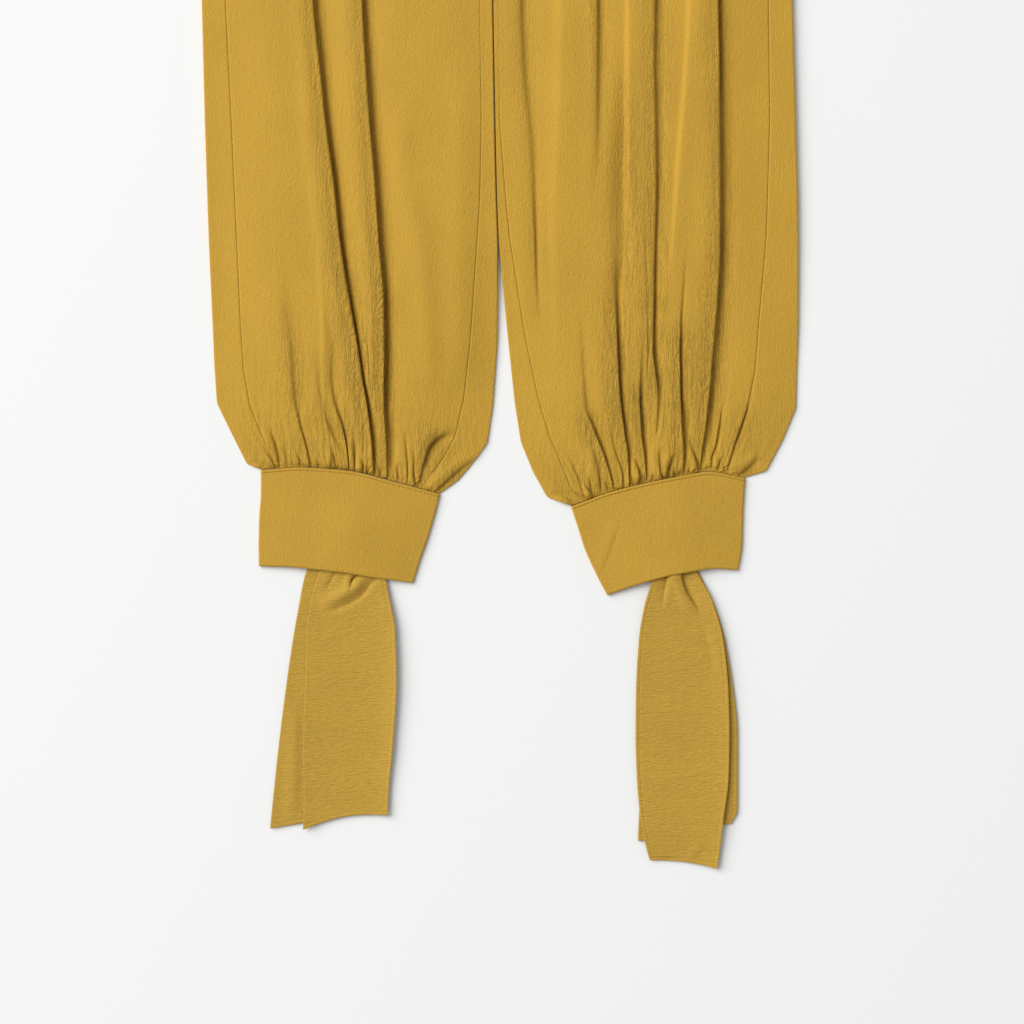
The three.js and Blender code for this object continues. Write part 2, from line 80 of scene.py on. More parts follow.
key_lamp = bpy.data.lights.new("key_lamp", "AREA")
key_lamp.size = 10.4
key_lamp.energy = 1745
key_object = bpy.data.objects.new("key_lamp", key_lamp)
key_object.location = LAMP_PLACE
key_object.rotation_euler = (LAMP_AIM - LAMP_PLACE).to_track_quat("-Z", "Y").to_euler()
bpy.context.collection.objects.link(key_object)

studio = bpy.data.worlds.new("studio")
studio.use_nodes = True
fill(studio.node_tree.nodes["Background"], {"Color": (1, 1, 1, 1), "Strength": 0.44})
bpy.context.scene.world = studio
bpy.context.scene.view_settings.view_transform = "Standard"

LENS = 100
SENSOR = 36
VIEW_WIDTH = 0.9216  # metres of table across the view
VIEW_CENTRE = (0.0117, -0.3216)

camera = bpy.data.cameras.new("camera")
camera.lens = LENS
camera.sensor_width = SENSOR
camera.clip_end = 50
camera_object = bpy.data.objects.new("camera", camera)
camera_object.location = (*VIEW_CENTRE, VIEW_WIDTH * LENS / SENSOR)
bpy.context.collection.objects.link(camera_object)
bpy.context.scene.camera = camera_object


# ---- Crepe ---------------------------------------------------------------------------------------
# Light crepe dyed mustard: a matt cloth whose hard-twisted threads crinkle it in short fine
# streaks along the warp. Each piece's UV map is its cut laid flat, in metres, with V along the warp.

def crepe_group():
    """Node group of the crinkle and the uneven dye: streaks are noise stretched along V, at three
    sizes, and the dye is darker where the crinkle dips. Where the piece's attribute says that the
    cloth is creased, sharp long creases are added: they run where a fourth noise crosses its middle"""
    group = bpy.data.node_groups.new("crepe", "ShaderNodeTree")
    sockets = group.interface
    sockets.new_socket("Dye", in_out="INPUT", socket_type="NodeSocketColor")
    sockets.new_socket("Crinkle", in_out="INPUT", socket_type="NodeSocketFloat").default_value = 1
    sockets.new_socket("Color", in_out="OUTPUT", socket_type="NodeSocketColor")
    sockets.new_socket("Height", in_out="OUTPUT", socket_type="NodeSocketFloat")
    nodes, links = group.nodes, group.links
    inputs = nodes.new("NodeGroupInput")
    outputs = nodes.new("NodeGroupOutput")
    place = nodes.new("ShaderNodeTexCoord")

    def streaks(across, along, detail, distortion):
        """Noise whose grains have these sizes in metres"""
        stretch = nodes.new("ShaderNodeMapping")
        fill(stretch, {"Scale": (1 / across, 1 / along, 1)})
        links.new(place.outputs["UV"], stretch.inputs["Vector"])
        noise = nodes.new("ShaderNodeTexNoise")
        noise.noise_dimensions = "2D"
        fill(noise, {"Scale": 1, "Detail": detail, "Roughness": 0.6, "Distortion": distortion})
        links.new(stretch.outputs["Vector"], noise.inputs["Vector"])
        return noise.outputs["Fac"]

    def blend(one, other, share):
        """The first value with a share of the second mixed in"""
        mix = nodes.new("ShaderNodeMix")
        mix.data_type = "FLOAT"
        mix.inputs["Factor"].default_value = share
        links.new(one, mix.inputs["A"])
        links.new(other, mix.inputs["B"])
        return mix.outputs["Result"]

    def calculate(operation, *terms):
        """A step of arithmetic on numbers and sockets"""
        step = nodes.new("ShaderNodeMath")
        step.operation = operation
        for socket, term in zip(step.inputs, terms):
            if isinstance(term, (int, float)):
                socket.default_value = term
            else:
                links.new(term, socket)
        return step.outputs["Value"]

    fine = streaks(0.0012, 0.0028, 2, 0.5)
    coarse = streaks(0.0036, 0.012, 1, 0.8)
    creased = nodes.new("ShaderNodeAttribute")
    creased.attribute_name = "creased"
    crinkle = calculate("MULTIPLY", blend(fine, coarse, 0.35), inputs.outputs["Crinkle"])
    middle = calculate("ABSOLUTE", calculate("SUBTRACT", streaks(0.0032, 0.022, 2, 1.2), 0.5))
    creases = calculate("MULTIPLY", calculate("MINIMUM", middle, 0.16), creased.outputs["Fac"])
    links.new(calculate("MULTIPLY_ADD", creases, 4.0, crinkle), outputs.inputs["Height"])

    patches = streaks(0.045, 0.08, 2, 0)
    shade = nodes.new("ShaderNodeMapRange")
    fill(shade, {"From Min": 0.3, "From Max": 0.7, "To Min": 0.94, "To Max": 1.06})
    links.new(blend(patches, fine, 0.55), shade.inputs["Value"])
    darker = calculate("MULTIPLY_ADD", creased.outputs["Fac"], -0.08, shade.outputs["Result"])
    tint = nodes.new("ShaderNodeMix")
    tint.data_type = "RGBA"
    tint.blend_type = "MULTIPLY"
    tint.inputs["Factor"].default_value = 1
    links.new(inputs.outputs["Dye"], tint.inputs["A"])
    links.new(darker, tint.inputs["B"])
    links.new(tint.outputs["Result"], outputs.inputs["Color"])
    return group


CREPE_GROUP = crepe_group()
CRINKLE_DEPTH = 0.0008  # metres


def crepe(name, dye, crinkle):
    """Crepe of one dye, with its crinkle as a bump: 1 is a plain crinkle, and more is stronger"""
    material = bpy.data.materials.new(name)
    material.use_nodes = True
    nodes, links = material.node_tree.nodes, material.node_tree.links
    shader = nodes["Principled BSDF"]
    fill(shader, {
        "Roughness": 0.8,
        "Specular IOR Level": 0.4,
        "Sheen Weight": 0.03,
        "Sheen Roughness": 0.5,
        "Sheen Tint": (0.9, 0.7, 0.35, 1),
    })
    group = nodes.new("ShaderNodeGroup")
    group.node_tree = CREPE_GROUP
    fill(group, {"Dye": (*dye, 1), "Crinkle": crinkle})
    links.new(group.outputs["Color"], shader.inputs["Base Color"])
    bump = nodes.new("ShaderNodeBump")
    fill(bump, {"Strength": 1, "Distance": CRINKLE_DEPTH})
    links.new(group.outputs["Height"], bump.inputs["Height"])
    links.new(bump.outputs["Normal"], shader.inputs["Normal"])
    return material


# ---- Leg panels ----------------------------------------------------------------------------------
# Each leg is a front and a back panel, sewn at the sides and gathered into the cuff and the
# waistband. The back lies on the table and its edges are turned onto the front as far as the seams.

def table_of(columns, rows):
    """Rows of numbers as a dictionary of arrays by column name"""
    return {name: np.array(values, float) for name, values in zip(columns.split(), zip(*rows))}


def smooth_line(places, values, at):
    """Values at `at` on a line through (places, values) without corners or overshoot: cubic pieces
    whose slope at each place is the harmonic mean of the slopes on its two sides"""
    places, values, at = (np.asarray(item, float) for item in (places, values, at))
    steps = np.diff(places)
    secants = np.diff(values) / steps
    product = secants[1:] * secants[:-1]
    total = secants[1:] + secants[:-1]
    inner = np.where(product > 0, 2 * product / np.where(total == 0, 1, total), 0)
    slopes = np.concatenate([secants[:1], inner, secants[-1:]])
    at = np.clip(at, places[0], places[-1])
    piece = np.clip(np.searchsorted(places, at, side="right") - 1, 0, len(steps) - 1)
    part = (at - places[piece]) / steps[piece]
    start, end = values[piece], values[piece + 1]
    rise0, rise1 = slopes[piece] * steps[piece], slopes[piece + 1] * steps[piece]
    return (start + part * rise0
            + part**2 * (3 * (end - start) - 2 * rise0 - rise1)
            + part**3 * (2 * (start - end) + rise0 + rise1))


def bell(distance, width):
    """One where the distance is 0, and nearly nothing from twice the width"""
    return np.exp(-((distance / width) ** 2))


def add_mesh(name, points, faces, uv, material):
    """An object of quads over points in millimetres, with a UV map of the cut in millimetres. A fourth
    number of a point says how far the cloth is creased there"""
    mesh = bpy.data.meshes.new(name)
    mesh.vertices.add(len(points))
    mesh.vertices.foreach_set("co", (points[:, :3] / 1000).ravel())
    if points.shape[1] == 4:
        creased = mesh.attributes.new("creased", "FLOAT", "POINT")
        creased.data.foreach_set("value", points[:, 3].copy())
    mesh.loops.add(faces.size)
    mesh.loops.foreach_set("vertex_index", faces.ravel())
    mesh.polygons.add(len(faces))
    mesh.polygons.foreach_set("loop_start", np.arange(0, faces.size, 4))
    mesh.uv_layers.new(name="cut").data.foreach_set("uv", (uv[faces.ravel()] / 1000).ravel())
    mesh.update(calc_edges=True)
    mesh.validate()
    mesh.polygons.foreach_set("use_smooth", np.ones(len(mesh.polygons), bool))
    mesh.materials.append(material)
    piece = bpy.data.objects.new(name, mesh)
    bpy.context.collection.objects.link(piece)
    return piece


def add_cloth(name, points, uv, material, thickness, keep=None):
    """A grid of points on the outside of a CAD node's cloth, thickened inwards. It replaces the node"""
    rows, columns = points.shape[:2]
    index = np.arange(rows * columns).reshape(rows, columns)
    corners = [index[:-1, :-1], index[:-1, 1:], index[1:, 1:], index[1:, :-1]]
    faces = np.stack(corners, axis=-1)
    faces = faces.reshape(-1, 4) if keep is None else faces[keep]
    used, faces = np.unique(faces, return_inverse=True)
    piece = add_mesh(name + "_cloth", points.reshape(rows * columns, -1)[used], faces.reshape(-1, 4),
                     uv.reshape(-1, 2)[used], material)
    wall = piece.modifiers.new("thickness", "SOLIDIFY")
    wall.thickness = thickness / 1000
    wall.offset = -1
    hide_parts(name)
    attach(piece, "root")
    return piece


CLOTH = 0.5  # thickness of the crepe
LAYER = 1.9  # height of the upper layer's outside at a leg's folded edges
LEAST = 1.2  # least height of the upper layer's outside: it lies on the back
FLOOR = 0.35  # the layer settles softly onto the least height over about this height
EDGE_REACH = 60  # how far inwards a lifted edge lifts the cloth
PUFF_REACH = 86  # how far inwards the front rises to its puff
SEAM_DEPTH = 0.55
SEAM_WIDTH = 0.55
PATH_STEP = 2  # along a fold's path
WIDE_TROUGH = 14  # least width of the widest bell in a fold's trough
SLIT = 4.8  # greatest width of the slit under a crisp side
FRONT_COLUMNS = 260
CENTRE = -4.5  # x of the line between the legs and of the centre seams
CROTCH = 250
WAIST_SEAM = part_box("waistband")[0].y * 1000 - 0.05

# Sections of each leg from the cuff to the waist: its edges, the width of back panel turned onto the
# front, how far the section follows the cuff's curved seam, how high the front puffs up, how far its
# edges are lifted, and how many rows of the mesh lie before the next section
SECTION_COLUMNS = "x0 y0 x1 y1 wrap0 wrap1 follow puff rise0 rise1 rows"
RIGHT_LEG = table_of(SECTION_COLUMNS, [
    (-214.2, -283.5, -53.1, -305.1, 14, 17, 1, 3.6, 0, 0, 12),
    (-226.8, -278.4, -37.2, -293.7, 24, 24.7, 0.9, 6, 0, 0, 17),
    (-240.3, -251.4, -24.6, -279.3, 27, 26, 0.6, 7.8, 0, 0, 16),
    (-253.8, -223.5, -10.4, -259.5, 30, 29.2, 0.3, 9, 0, 0, 16),
    (-256.1, -189.3, -5.4, -225.3, 26.5, 26.3, 0.1, 9.2, 0, 0, 12),
    (-257.4, -157.8, -1.3, -166.8, 25.5, 24.2, 0, 9, 0.9, 0.6, 14),
    (-261, -76.8, -0.9, -76.8, 25.6, 18.5, 0, 9, 2.4, 4.8, 5),
    (-262.2, -41, -2.4, -41, 25, 14.6, 0, 9, 2.8, 5, 9),
    (-264.6, 31.2, -4, 31.2, 24.2, 11.6, 0, 9, 2.8, 5.2, 13),
    (-267.3, 139.2, -5.8, 139.2, 21.5, 11.8, 0, 9, 2.8, 4.8, 10),
    (-268.2, CROTCH, CENTRE - 0.4, CROTCH, 21, 1, 0, 9, 1.2, 0, 1),
    (-268.2, CROTCH + 4, CENTRE - 0.2, CROTCH + 4, 21, 0, 0, 9, 1.2, 0.5, 10),
    (-265.5, 360, CENTRE - 0.2, 360, 20, 0, 0, 9, 0, 2.5, 10),
    (-253, 460, CENTRE - 0.2, 460, 17, 0, 0, 9, 0, 3, 9),
    (-224, 545, CENTRE - 0.2, 545, 14, 0, 0, 3.5, 0, 3, 9),
    (-184.5, WAIST_SEAM, CENTRE - 0.2, WAIST_SEAM, 10, 0, 0, 1.8, 0, 1.6, 0),
])
LEFT_LEG = table_of(SECTION_COLUMNS, [
    (64.8, -316.4, 221.4, -290.7, 12, 17.9, 1, 3.6, 0, 0, 12),
    (43.2, -308.4, 240.6, -284.7, 22.3, 34.5, 0.9, 6, 0, 0, 17),
    (30.6, -285.6, 255.6, -255.9, 25.9, 41.4, 0.6, 7.8, 0, 0, 16),
    (19.6, -258.6, 267.2, -228, 26.2, 44.7, 0.3, 9, 0, 0, 16),
    (14, -222.6, 268, -193.8, 21.4, 38, 0.1, 9.2, 0, 0, 12),
    (7.7, -162.3, 269.2, -153.3, 15.4, 36, 0, 9, 0.6, 1.2, 14),
    (-0.5, -76.8, 269.2, -76.8, 10.4, 29, 0, 9, 4.2, 3, 5),
    (-2, -41, 268.6, -41, 8.2, 27.3, 0, 9, 4.4, 3.4, 9),
    (-3.6, 31.2, 266.8, 31.2, 4.2, 23.4, 0, 9, 4.6, 3.4, 13),
    (-5.4, 139.2, 263.7, 139.2, 5, 21.6, 0, 9, 4.4, 3.4, 10),
    (CENTRE + 0.4, CROTCH, 263.7, CROTCH, 1, 21, 0, 9, 0, 1.2, 1),
    (CENTRE + 0.2, CROTCH + 4, 263.7, CROTCH + 4, 0, 21, 0, 9, 0.5, 1.2, 10),
    (CENTRE + 0.2, 360, 260, 360, 0, 20, 0, 9, 2.5, 0, 10),
    (CENTRE + 0.2, 460, 245, 460, 0, 17, 0, 9, 3, 0, 9),
    (CENTRE + 0.2, 545, 215, 545, 0, 14, 0, 3.5, 3, 0, 9),
    (CENTRE + 0.2, WAIST_SEAM, 175.5, WAIST_SEAM, 0, 10, 0, 1.8, 1.6, 0, 0),
])
QUARTERS = (0, 0.25, 0.5, 0.75, 1)
RIGHT_SEAM_RISE = (0, 7.6, 9.9, 5.4, 0)  # height of the cuff's seam over its ends, at quarters
LEFT_SEAM_RISE = (0, 7.7, 10.6, 11.6, 0)

# The long folds of each front. A fold has the width of its crest and a path of points: x and y of its
# steep side, the height of the crest at its left, the depth and the width of the trough at its right,
# and how soft the steep side is. Where the height is below 0, the cloth slopes down to the steep side.
# Left and right are as seen along the path, so a fold that faces -X runs down towards the cuff
FOLD_COLUMNS = "x y rise depth trough soft"


def fold_tables(folds):
    """Folds with their paths' rows of numbers made into tables"""
    return [(crest, table_of(FOLD_COLUMNS, path)) for crest, path in folds]


RIGHT_FOLDS = fold_tables([
    (10, [
        (-113, -296, 0.6, 4.4, 5, 0.4), (-114.5, -278, 0.6, 7, 8, 0.4), (-117, -250, -1, 10, 13, 0.4),
        (-120, -226, -1, 10, 10, 0.4), (-124, -203, -0.8, 10.1, 7, 0.4),
        (-128, -176, -0.4, 10.5, 6.5, 0.5), (-136, -131, 1.8, 10.1, 8, 0.5),
        (-144.9, -77, 2.2, 10.1, 11, 0.5), (-150.8, -23, 2.4, 10.1, 14, 0.5),
        (-158, 31, 2, 10.1, 20, 0.5), (-163.5, 85, 1.4, 10.4, 28, 0.5), (-169, 139, 1, 10.6, 32, 0.5),
        (-172, 250, 3, 8.3, 16, 0.9), (-155, 400, 2.6, 5.6, 10, 1), (-84, 600, 1.2, 1, 5, 1)]),
    (9, [
        (-102, -300, 1.4, 5.6, 10, 0.4), (-103, -278, 2, 8.8, 16, 0.4),
        (-104.2, -254, 2.8, 11, 20, 0.4), (-106, -226, 3.2, 10.8, 18, 0.4),
        (-106, -208, 3.4, 10.8, 18, 0.4), (-105.4, -176, 3.6, 10.8, 18, 0.4),
        (-106, -131, 2.6, 10.8, 18, 0.4), (-110.5, -77, 2.3, 11, 24, 0.4),
        (-114, -23, 1.7, 11, 25, 0.4), (-118.4, 31, 1.2, 11, 25, 0.5), (-121.6, 85, 0.8, 10.6, 23, 0.6),
        (-124.4, 139, 0.6, 10.4, 21, 0.6), (-126, 250, 2.4, 8.3, 12, 0.9), (-113, 400, 2.2, 5.6, 8, 1),
        (-60, 600, 1.2, 1, 5, 1)]),
    (10, [
        (-169, -290, -0.2, 3.4, 2.6, 0.4), (-173, -267, -0.3, 3.8, 3.6, 0.5),
        (-180, -239, -0.2, 3.2, 5, 0.9), (-184.5, -212, -0.2, 3.4, 20, 2), (-186.6, -176, 0, 3, 24, 3),
        (-191, -140, 0.3, 1.8, 26, 5), (-193, -100, 0, 0, 12, 5)]),
    (8, [
        (-135.5, -292, -0.3, 3.8, 2.8, 0.4), (-137, -270, -0.3, 5.4, 3.6, 0.4),
        (-140.7, -247, -0.3, 4.9, 4.6, 0.6), (-147, -226, -0.2, 3.2, 8, 1),
        (-151, -203, -0.2, 2.6, 11, 1.6), (-150, -176, 0, 1.7, 12, 2.4), (-156, -145, 0, 0, 9, 3)]),
    (7, [
        (-139, -272, 0, 0, 5, 2), (-145.5, -260, 0, 2.4, 6, 1.6), (-152, -247, -0.2, 3.4, 7, 1.8),
        (-158.5, -228, -0.2, 2.6, 9, 2.2), (-162.5, -200, 0, 1.6, 10, 3), (-166, -165, 0, 0, 10, 3)]),
    (4, [
        (-113.5, -236, 0, 0, 2, 1), (-114.5, -218, 0, 1, 2, 0.8), (-116.5, -200, 0, 1.4, 2, 0.8),
        (-117.9, -176, 0, 2.2, 2.4, 0.8), (-122, -158, 0.4, 0.6, 2, 1), (-124, -140, 0, 0, 2, 1)]),
    (5, [
        (-124, -274, 0, 0, 2.4, 1), (-122, -262, 0, 1, 2.4, 0.8), (-121.8, -246, 0, 1.2, 2.4, 0.8),
        (-126, -222, 0, 0.8, 3, 1.2), (-130, -206, 0, 0, 3, 1.5)]),
    (6, [
        (-75, -302, 1.2, 4, 4, 0.4), (-72.5, -290, 1.4, 6.3, 5, 0.4), (-69, -277, 1.6, 6.9, 6, 0.5),
        (-64, -263, 1.6, 6, 7, 0.7), (-57.5, -256, 1.4, 4.9, 8, 0.9), (-50, -252.5, 1, 3, 8, 1.2),
        (-44, -251.5, 0.6, 1.6, 6, 2), (-36, -252, 0, 0, 5, 2)]),
    (5, [
        (-84, -298, 0.7, 3, 2.6, 0.4), (-83, -285, 0.8, 3, 3, 0.6), (-83.5, -270, 0.7, 2, 3.4, 1),
        (-84, -256, 0.4, 1, 3.4, 1.4), (-82, -244, 0, 0, 3, 2)]),
])
LEFT_FOLDS = fold_tables([
    (12, [
        (37, -158, 0, 0, 5, 3), (34, -122, 0.8, 1.2, 5, 1.4), (32, -77, 1, 2.6, 6, 1),
        (30, 0, 0.7, 2.4, 11, 2.8), (23, 70, 0.5, 3, 20, 2.4), (20, 139, 0.6, 3.2, 20, 2.2),
        (20, 300, 1, 2, 14, 2), (28, 600, 0.5, 0.5, 4, 1)]),
    (11, [
        (116.4, -300, 0.8, 3.8, 4.1, 0.4), (114.6, -270, -0.6, 7.6, 7, 0.4),
        (110.8, -248, -0.7, 9.6, 8, 0.4), (107.8, -220, -0.7, 8.3, 8.1, 0.5),
        (105.6, -176, -0.6, 7.4, 9.5, 0.6), (105, -140, -0.4, 5.2, 8, 1), (105.5, -105, 0.2, 1.6, 8, 2),
        (106, -80, 0, 0, 8, 3)]),
    (6, [
        (84, -40, 0, 0, 12, 4), (87, -10, 0.2, 1, 14, 3), (88.5, 31, 0.4, 2.2, 16, 2),
        (88.5, 85, 0.8, 3.6, 18, 1.4), (88, 139, 1.2, 4, 18, 1), (84, 300, 2.4, 3, 12, 1),
        (72, 600, 1.2, 1, 4, 1)]),
    (3, [
        (114, 139, 0, 0, 14, 2), (114, 85, 0.2, 1.8, 15, 1.4), (114.4, 31, 0.3, 4.9, 17, 1.2),
        (114, -5, 0.3, 6.3, 17, 1.4), (115, -50, 0, 6, 16, 3.4), (116, -86, 0, 5.6, 16, 6),
        (110, -120, 0, 4, 9, 3), (106.5, -150, 0, 0, 7, 2.4)]),
    (11, [
        (139.5, -256, 0, 0, 4, 0.7), (141.5, -246, 0, 1.6, 8, 0.6), (142.5, -222, -0.2, 3, 12.2, 0.6),
        (140.5, -201, -0.5, 6, 12.2, 0.6), (137.6, -176, -0.6, 7.2, 10.8, 0.8),
        (138.5, -145, -0.3, 3.6, 7, 1.2), (139.5, -115, 0, 0, 6, 2)]),
    (11, [
        (137.5, -165, 0, 0, 5, 1), (138.5, -131, -0.7, 6, 6, 0.8), (139.4, -86, -2.2, 6.7, 7, 0.8),
        (140.8, -23, -1.4, 6.3, 8, 0.9), (140.4, 31, -1.1, 5.6, 9, 1.1),
        (139.4, 85, -0.6, 5.2, 10, 1.2), (139.6, 139, 0, 5.6, 10, 1), (138, 300, 1.6, 4, 8, 1),
        (97, 600, 1.2, 1, 4, 1)]),
    (13, [
        (179.5, -294, -0.3, 4, 4.3, 0.4), (180.7, -270, -0.5, 7.6, 8, 0.4),
        (183.6, -248, -0.6, 9.4, 12, 0.4), (187, -220, -0.7, 9.6, 20, 0.5),
        (191, -176, -0.8, 10.1, 26, 0.5), (194.5, -131, -0.4, 10.1, 20, 0.5),
        (197.3, -86, 1, 9, 13, 0.8), (197.8, -23, 0.9, 8.3, 12, 1), (197.3, 31, 0.9, 8.3, 12, 1),
        (196.2, 85, 1.1, 9, 10, 0.6), (195, 139, 1.3, 9, 10, 0.6), (192, 300, 2.6, 5.6, 8, 1),
        (140, 600, 1.5, 1, 4, 1)]),
    (9, [
        (164.4, -294, -0.3, 4.9, 4.6, 0.4), (164.2, -266, -0.6, 9, 9, 0.4),
        (162.2, -240, -0.7, 10, 12, 0.4), (162, -216, -0.6, 7.4, 6.8, 0.5),
        (161.8, -176, -0.5, 6, 6.2, 0.6), (163.5, -145, -0.2, 2.6, 4, 0.9),
        (165.5, -118, 0.5, 1, 3.6, 1.2), (168, -86, 0, 0, 4, 2)]),
    (9, [
        (103.5, -308, 0.8, 3.8, 4.1, 0.4), (101.5, -298, -0.3, 4.9, 4.9, 0.4),
        (93.5, -271, -0.5, 5.8, 6.8, 0.4), (85, -248.5, -0.5, 5.6, 9.5, 0.6),
        (78, -226, -0.2, 2.6, 12.2, 1.4), (74.5, -176, 0, 1.2, 9, 2), (72, -131, 0, 0, 7, 3)]),
    (7, [
        (132.4, -297, -0.3, 3.8, 3.8, 0.4), (129.5, -271, -0.5, 7, 8, 0.4),
        (126.6, -248, -0.6, 8, 12, 0.5), (125.6, -222, -0.5, 6, 8.1, 0.6),
        (127, -200, 0, 2.4, 8.1, 0.9), (128, -182, 0, 0.8, 5, 1), (129, -165, 0, 0, 4, 1)]),
    (4, [
        (132, -206, 0, 0, 3, 1), (133, -190, 0, 1.2, 3, 0.8), (133.6, -172, 0, 1.6, 3, 0.8),
        (133, -140, 0, 1, 3, 1), (131, -86, 0, 0.6, 3, 1), (129, -40, 0, 0, 3, 1)]),
    (5, [
        (203.6, -289, 0, 3, 4.1, 0.6), (208.4, -269, 0, 3.6, 4.6, 0.6), (213, -255.7, 0, 3.6, 4.6, 0.6),
        (220.5, -234.3, 0, 2.8, 4.1, 0.7), (225.5, -218, 0, 1, 2.4, 1), (228, -200, 0, 0, 2, 1)]),
    (5, [
        (190.5, -292, -0.3, 3.4, 3.8, 0.4), (190, -275, -0.3, 3.8, 4.6, 0.4),
        (194, -262, -0.3, 3.6, 5.4, 0.5), (197, -246, -0.2, 3.2, 5.9, 0.5), (200, -228, 0, 1.4, 4, 0.9),
        (202, -212, 0, 0, 3.6, 1.4)]),
    (5, [
        (110.7, -302, 0.7, 2.6, 4.1, 0.5), (110.6, -290, -0.2, 2.6, 4.9, 0.5),
        (103.6, -266, 0, 2, 4.4, 0.8), (99.6, -246, 0, 1.2, 4.6, 1.2), (97, -228, 0, 0, 4, 1.6)]),
    (5, [
        (143, -262, 0, 0, 4, 1), (146.5, -250, 0, 1.2, 6, 1.6), (148, -232, 0, 1.2, 6, 1.6),
        (148, -214, 0, 0, 5, 2)]),
])

# Short puckers beside a cuff: x and y of their foot and head, how far they bow to the right in
# between, their height, the width of their trough, and the width of their crest
PUCKER_COLUMNS = "foot_x foot_y head_x head_y bow rise trough crest"
RIGHT_PUCKERS = table_of(PUCKER_COLUMNS, [
    (-198.5, -284, -208, -244, 1.5, 3.4, 3, 5), (-200.5, -284, -213, -262, 0, 2, 2.4, 4),
    (-192, -286, -195, -258, 1, 1.6, 3, 4), (-184, -286, -189, -270, 0, 2, 2.2, 4),
    (-178, -286, -181, -266, -0.6, 1.6, 2, 3), (-162, -287, -164, -272, 0, 1.6, 2, 3),
    (-154, -287, -151, -270, 0.6, 2.4, 2, 3), (-146, -288, -151, -262, 0, 2.6, 2.2, 3),
    (-130.3, -290, -130, -252, -1, 3.6, 2.2, 4), (-124.3, -290, -123.6, -272, 0.4, 4.4, 1.8, 3),
    (-120, -290, -118.6, -281, 0, 3, 1.6, 2), (-107.5, -292, -110.6, -277, 0.4, 3.2, 1.8, 2.4),
    (-96, -294, -94, -279, -0.4, 2, 1.8, 2.4), (-92.4, -296, -92.6, -277, 0.4, 3.8, 2, 2.6),
    (-76, -300, -75.4, -258, -2, 2.4, 2, 4), (-61, -305, -16, -271, -2.4, 4.6, 3, 5),
    (-206, -285, -222, -276, 0.8, 2.4, 1.8, 2.4), (-202, -285, -213, -277, 0.8, 2, 1.6, 2.4),
])
LEFT_PUCKERS = table_of(PUCKER_COLUMNS, [
    (77, -312, 61, -268, 1, 1.6, 3, 5), (83, -311, 73.5, -291, 0.5, 3.2, 2, 3),
    (84, -311, 80.6, -290, -0.8, 3.8, 2, 3), (91, -308, 84, -262, 1, 2.2, 4, 5),
    (97.5, -307, 94, -292, 0.6, 2.6, 2, 3), (118.6, -302, 118, -288, 0.6, 3.8, 2, 3),
    (122.8, -300, 118, -270, 4.5, 4, 2.4, 3), (127, -299, 127, -287, 0, 2.6, 1.8, 2.4),
    (138, -297, 136.6, -286, 0, 2.6, 1.6, 2.4), (146, -294, 144, -262, -1.5, 3.4, 2.6, 4.5),
    (148.3, -293, 158, -268, -1.6, 4.6, 3, 3.6), (156, -292, 156, -282, 0, 2.4, 1.8, 2.4),
    (171, -291, 169.8, -278, 0, 2.6, 1.8, 2.6), (178.6, -291, 169.6, -256, 1.6, 4, 2.4, 4),
    (186, -290, 186, -280, 0, 2.4, 1.6, 2.4), (194.2, -290, 201, -271, -1.4, 3.6, 2.2, 3),
    (200, -290, 203.5, -279, 0, 2.4, 1.8, 2.4), (211, -290, 234, -271, 1, 4.6, 3, 4.5),
    (70, -320, 47, -306, 3.4, 4.2, 2.4, 4),
])

# Soft ridges of the fronts between and beside the folds: a path of points from the cuff up, with the
# height of the ridge and the widths of its two sides
SWELL_COLUMNS = "x y rise left right"
RIGHT_SWELLS = [table_of(SWELL_COLUMNS, path) for path in (
    [(-60, -250, 0, 30, 20), (-46, -176, 1.4, 44, 26), (-40, -86, 1.7, 46, 26), (-38, 31, 1.7, 46, 26),
     (-38, 139, 1.7, 46, 26), (-38, 250, 0, 46, 26)],
    [(-170, -266, 0, 6, 20), (-180, -226, 1.6, 8, 26), (-183, -200, 3.2, 14, 30),
     (-184, -176, 4, 22, 34), (-192, -140, 3.8, 28, 36), (-204, -86, 3.2, 32, 38),
     (-208, 4, 1.6, 30, 36), (-210, 100, 1.1, 30, 36), (-210, 250, 0, 30, 36)],
    [(-60, -220, 0, 8, 8), (-64, -176, 1.3, 10, 10), (-70, -86, 1.3, 11, 11), (-88, 4, 1.3, 12, 12),
     (-80, 60, 0, 12, 12)],
    [(-38, -215, 0, 9, 10), (-35, -176, 1.4, 12, 16), (-33, -86, 1.6, 13, 18), (-33, 4, 1.6, 13, 18),
     (-30, 110, 0, 12, 16)],
    [(-148, -266, 0, 2, 2), (-157, -221, 0.8, 2.2, 3), (-157, -176, 0.8, 2.2, 3),
     (-161, -86, 0.5, 3, 5), (-172, 4, 0.4, 4, 6), (-177, 139, 0.3, 5, 8)],
)]
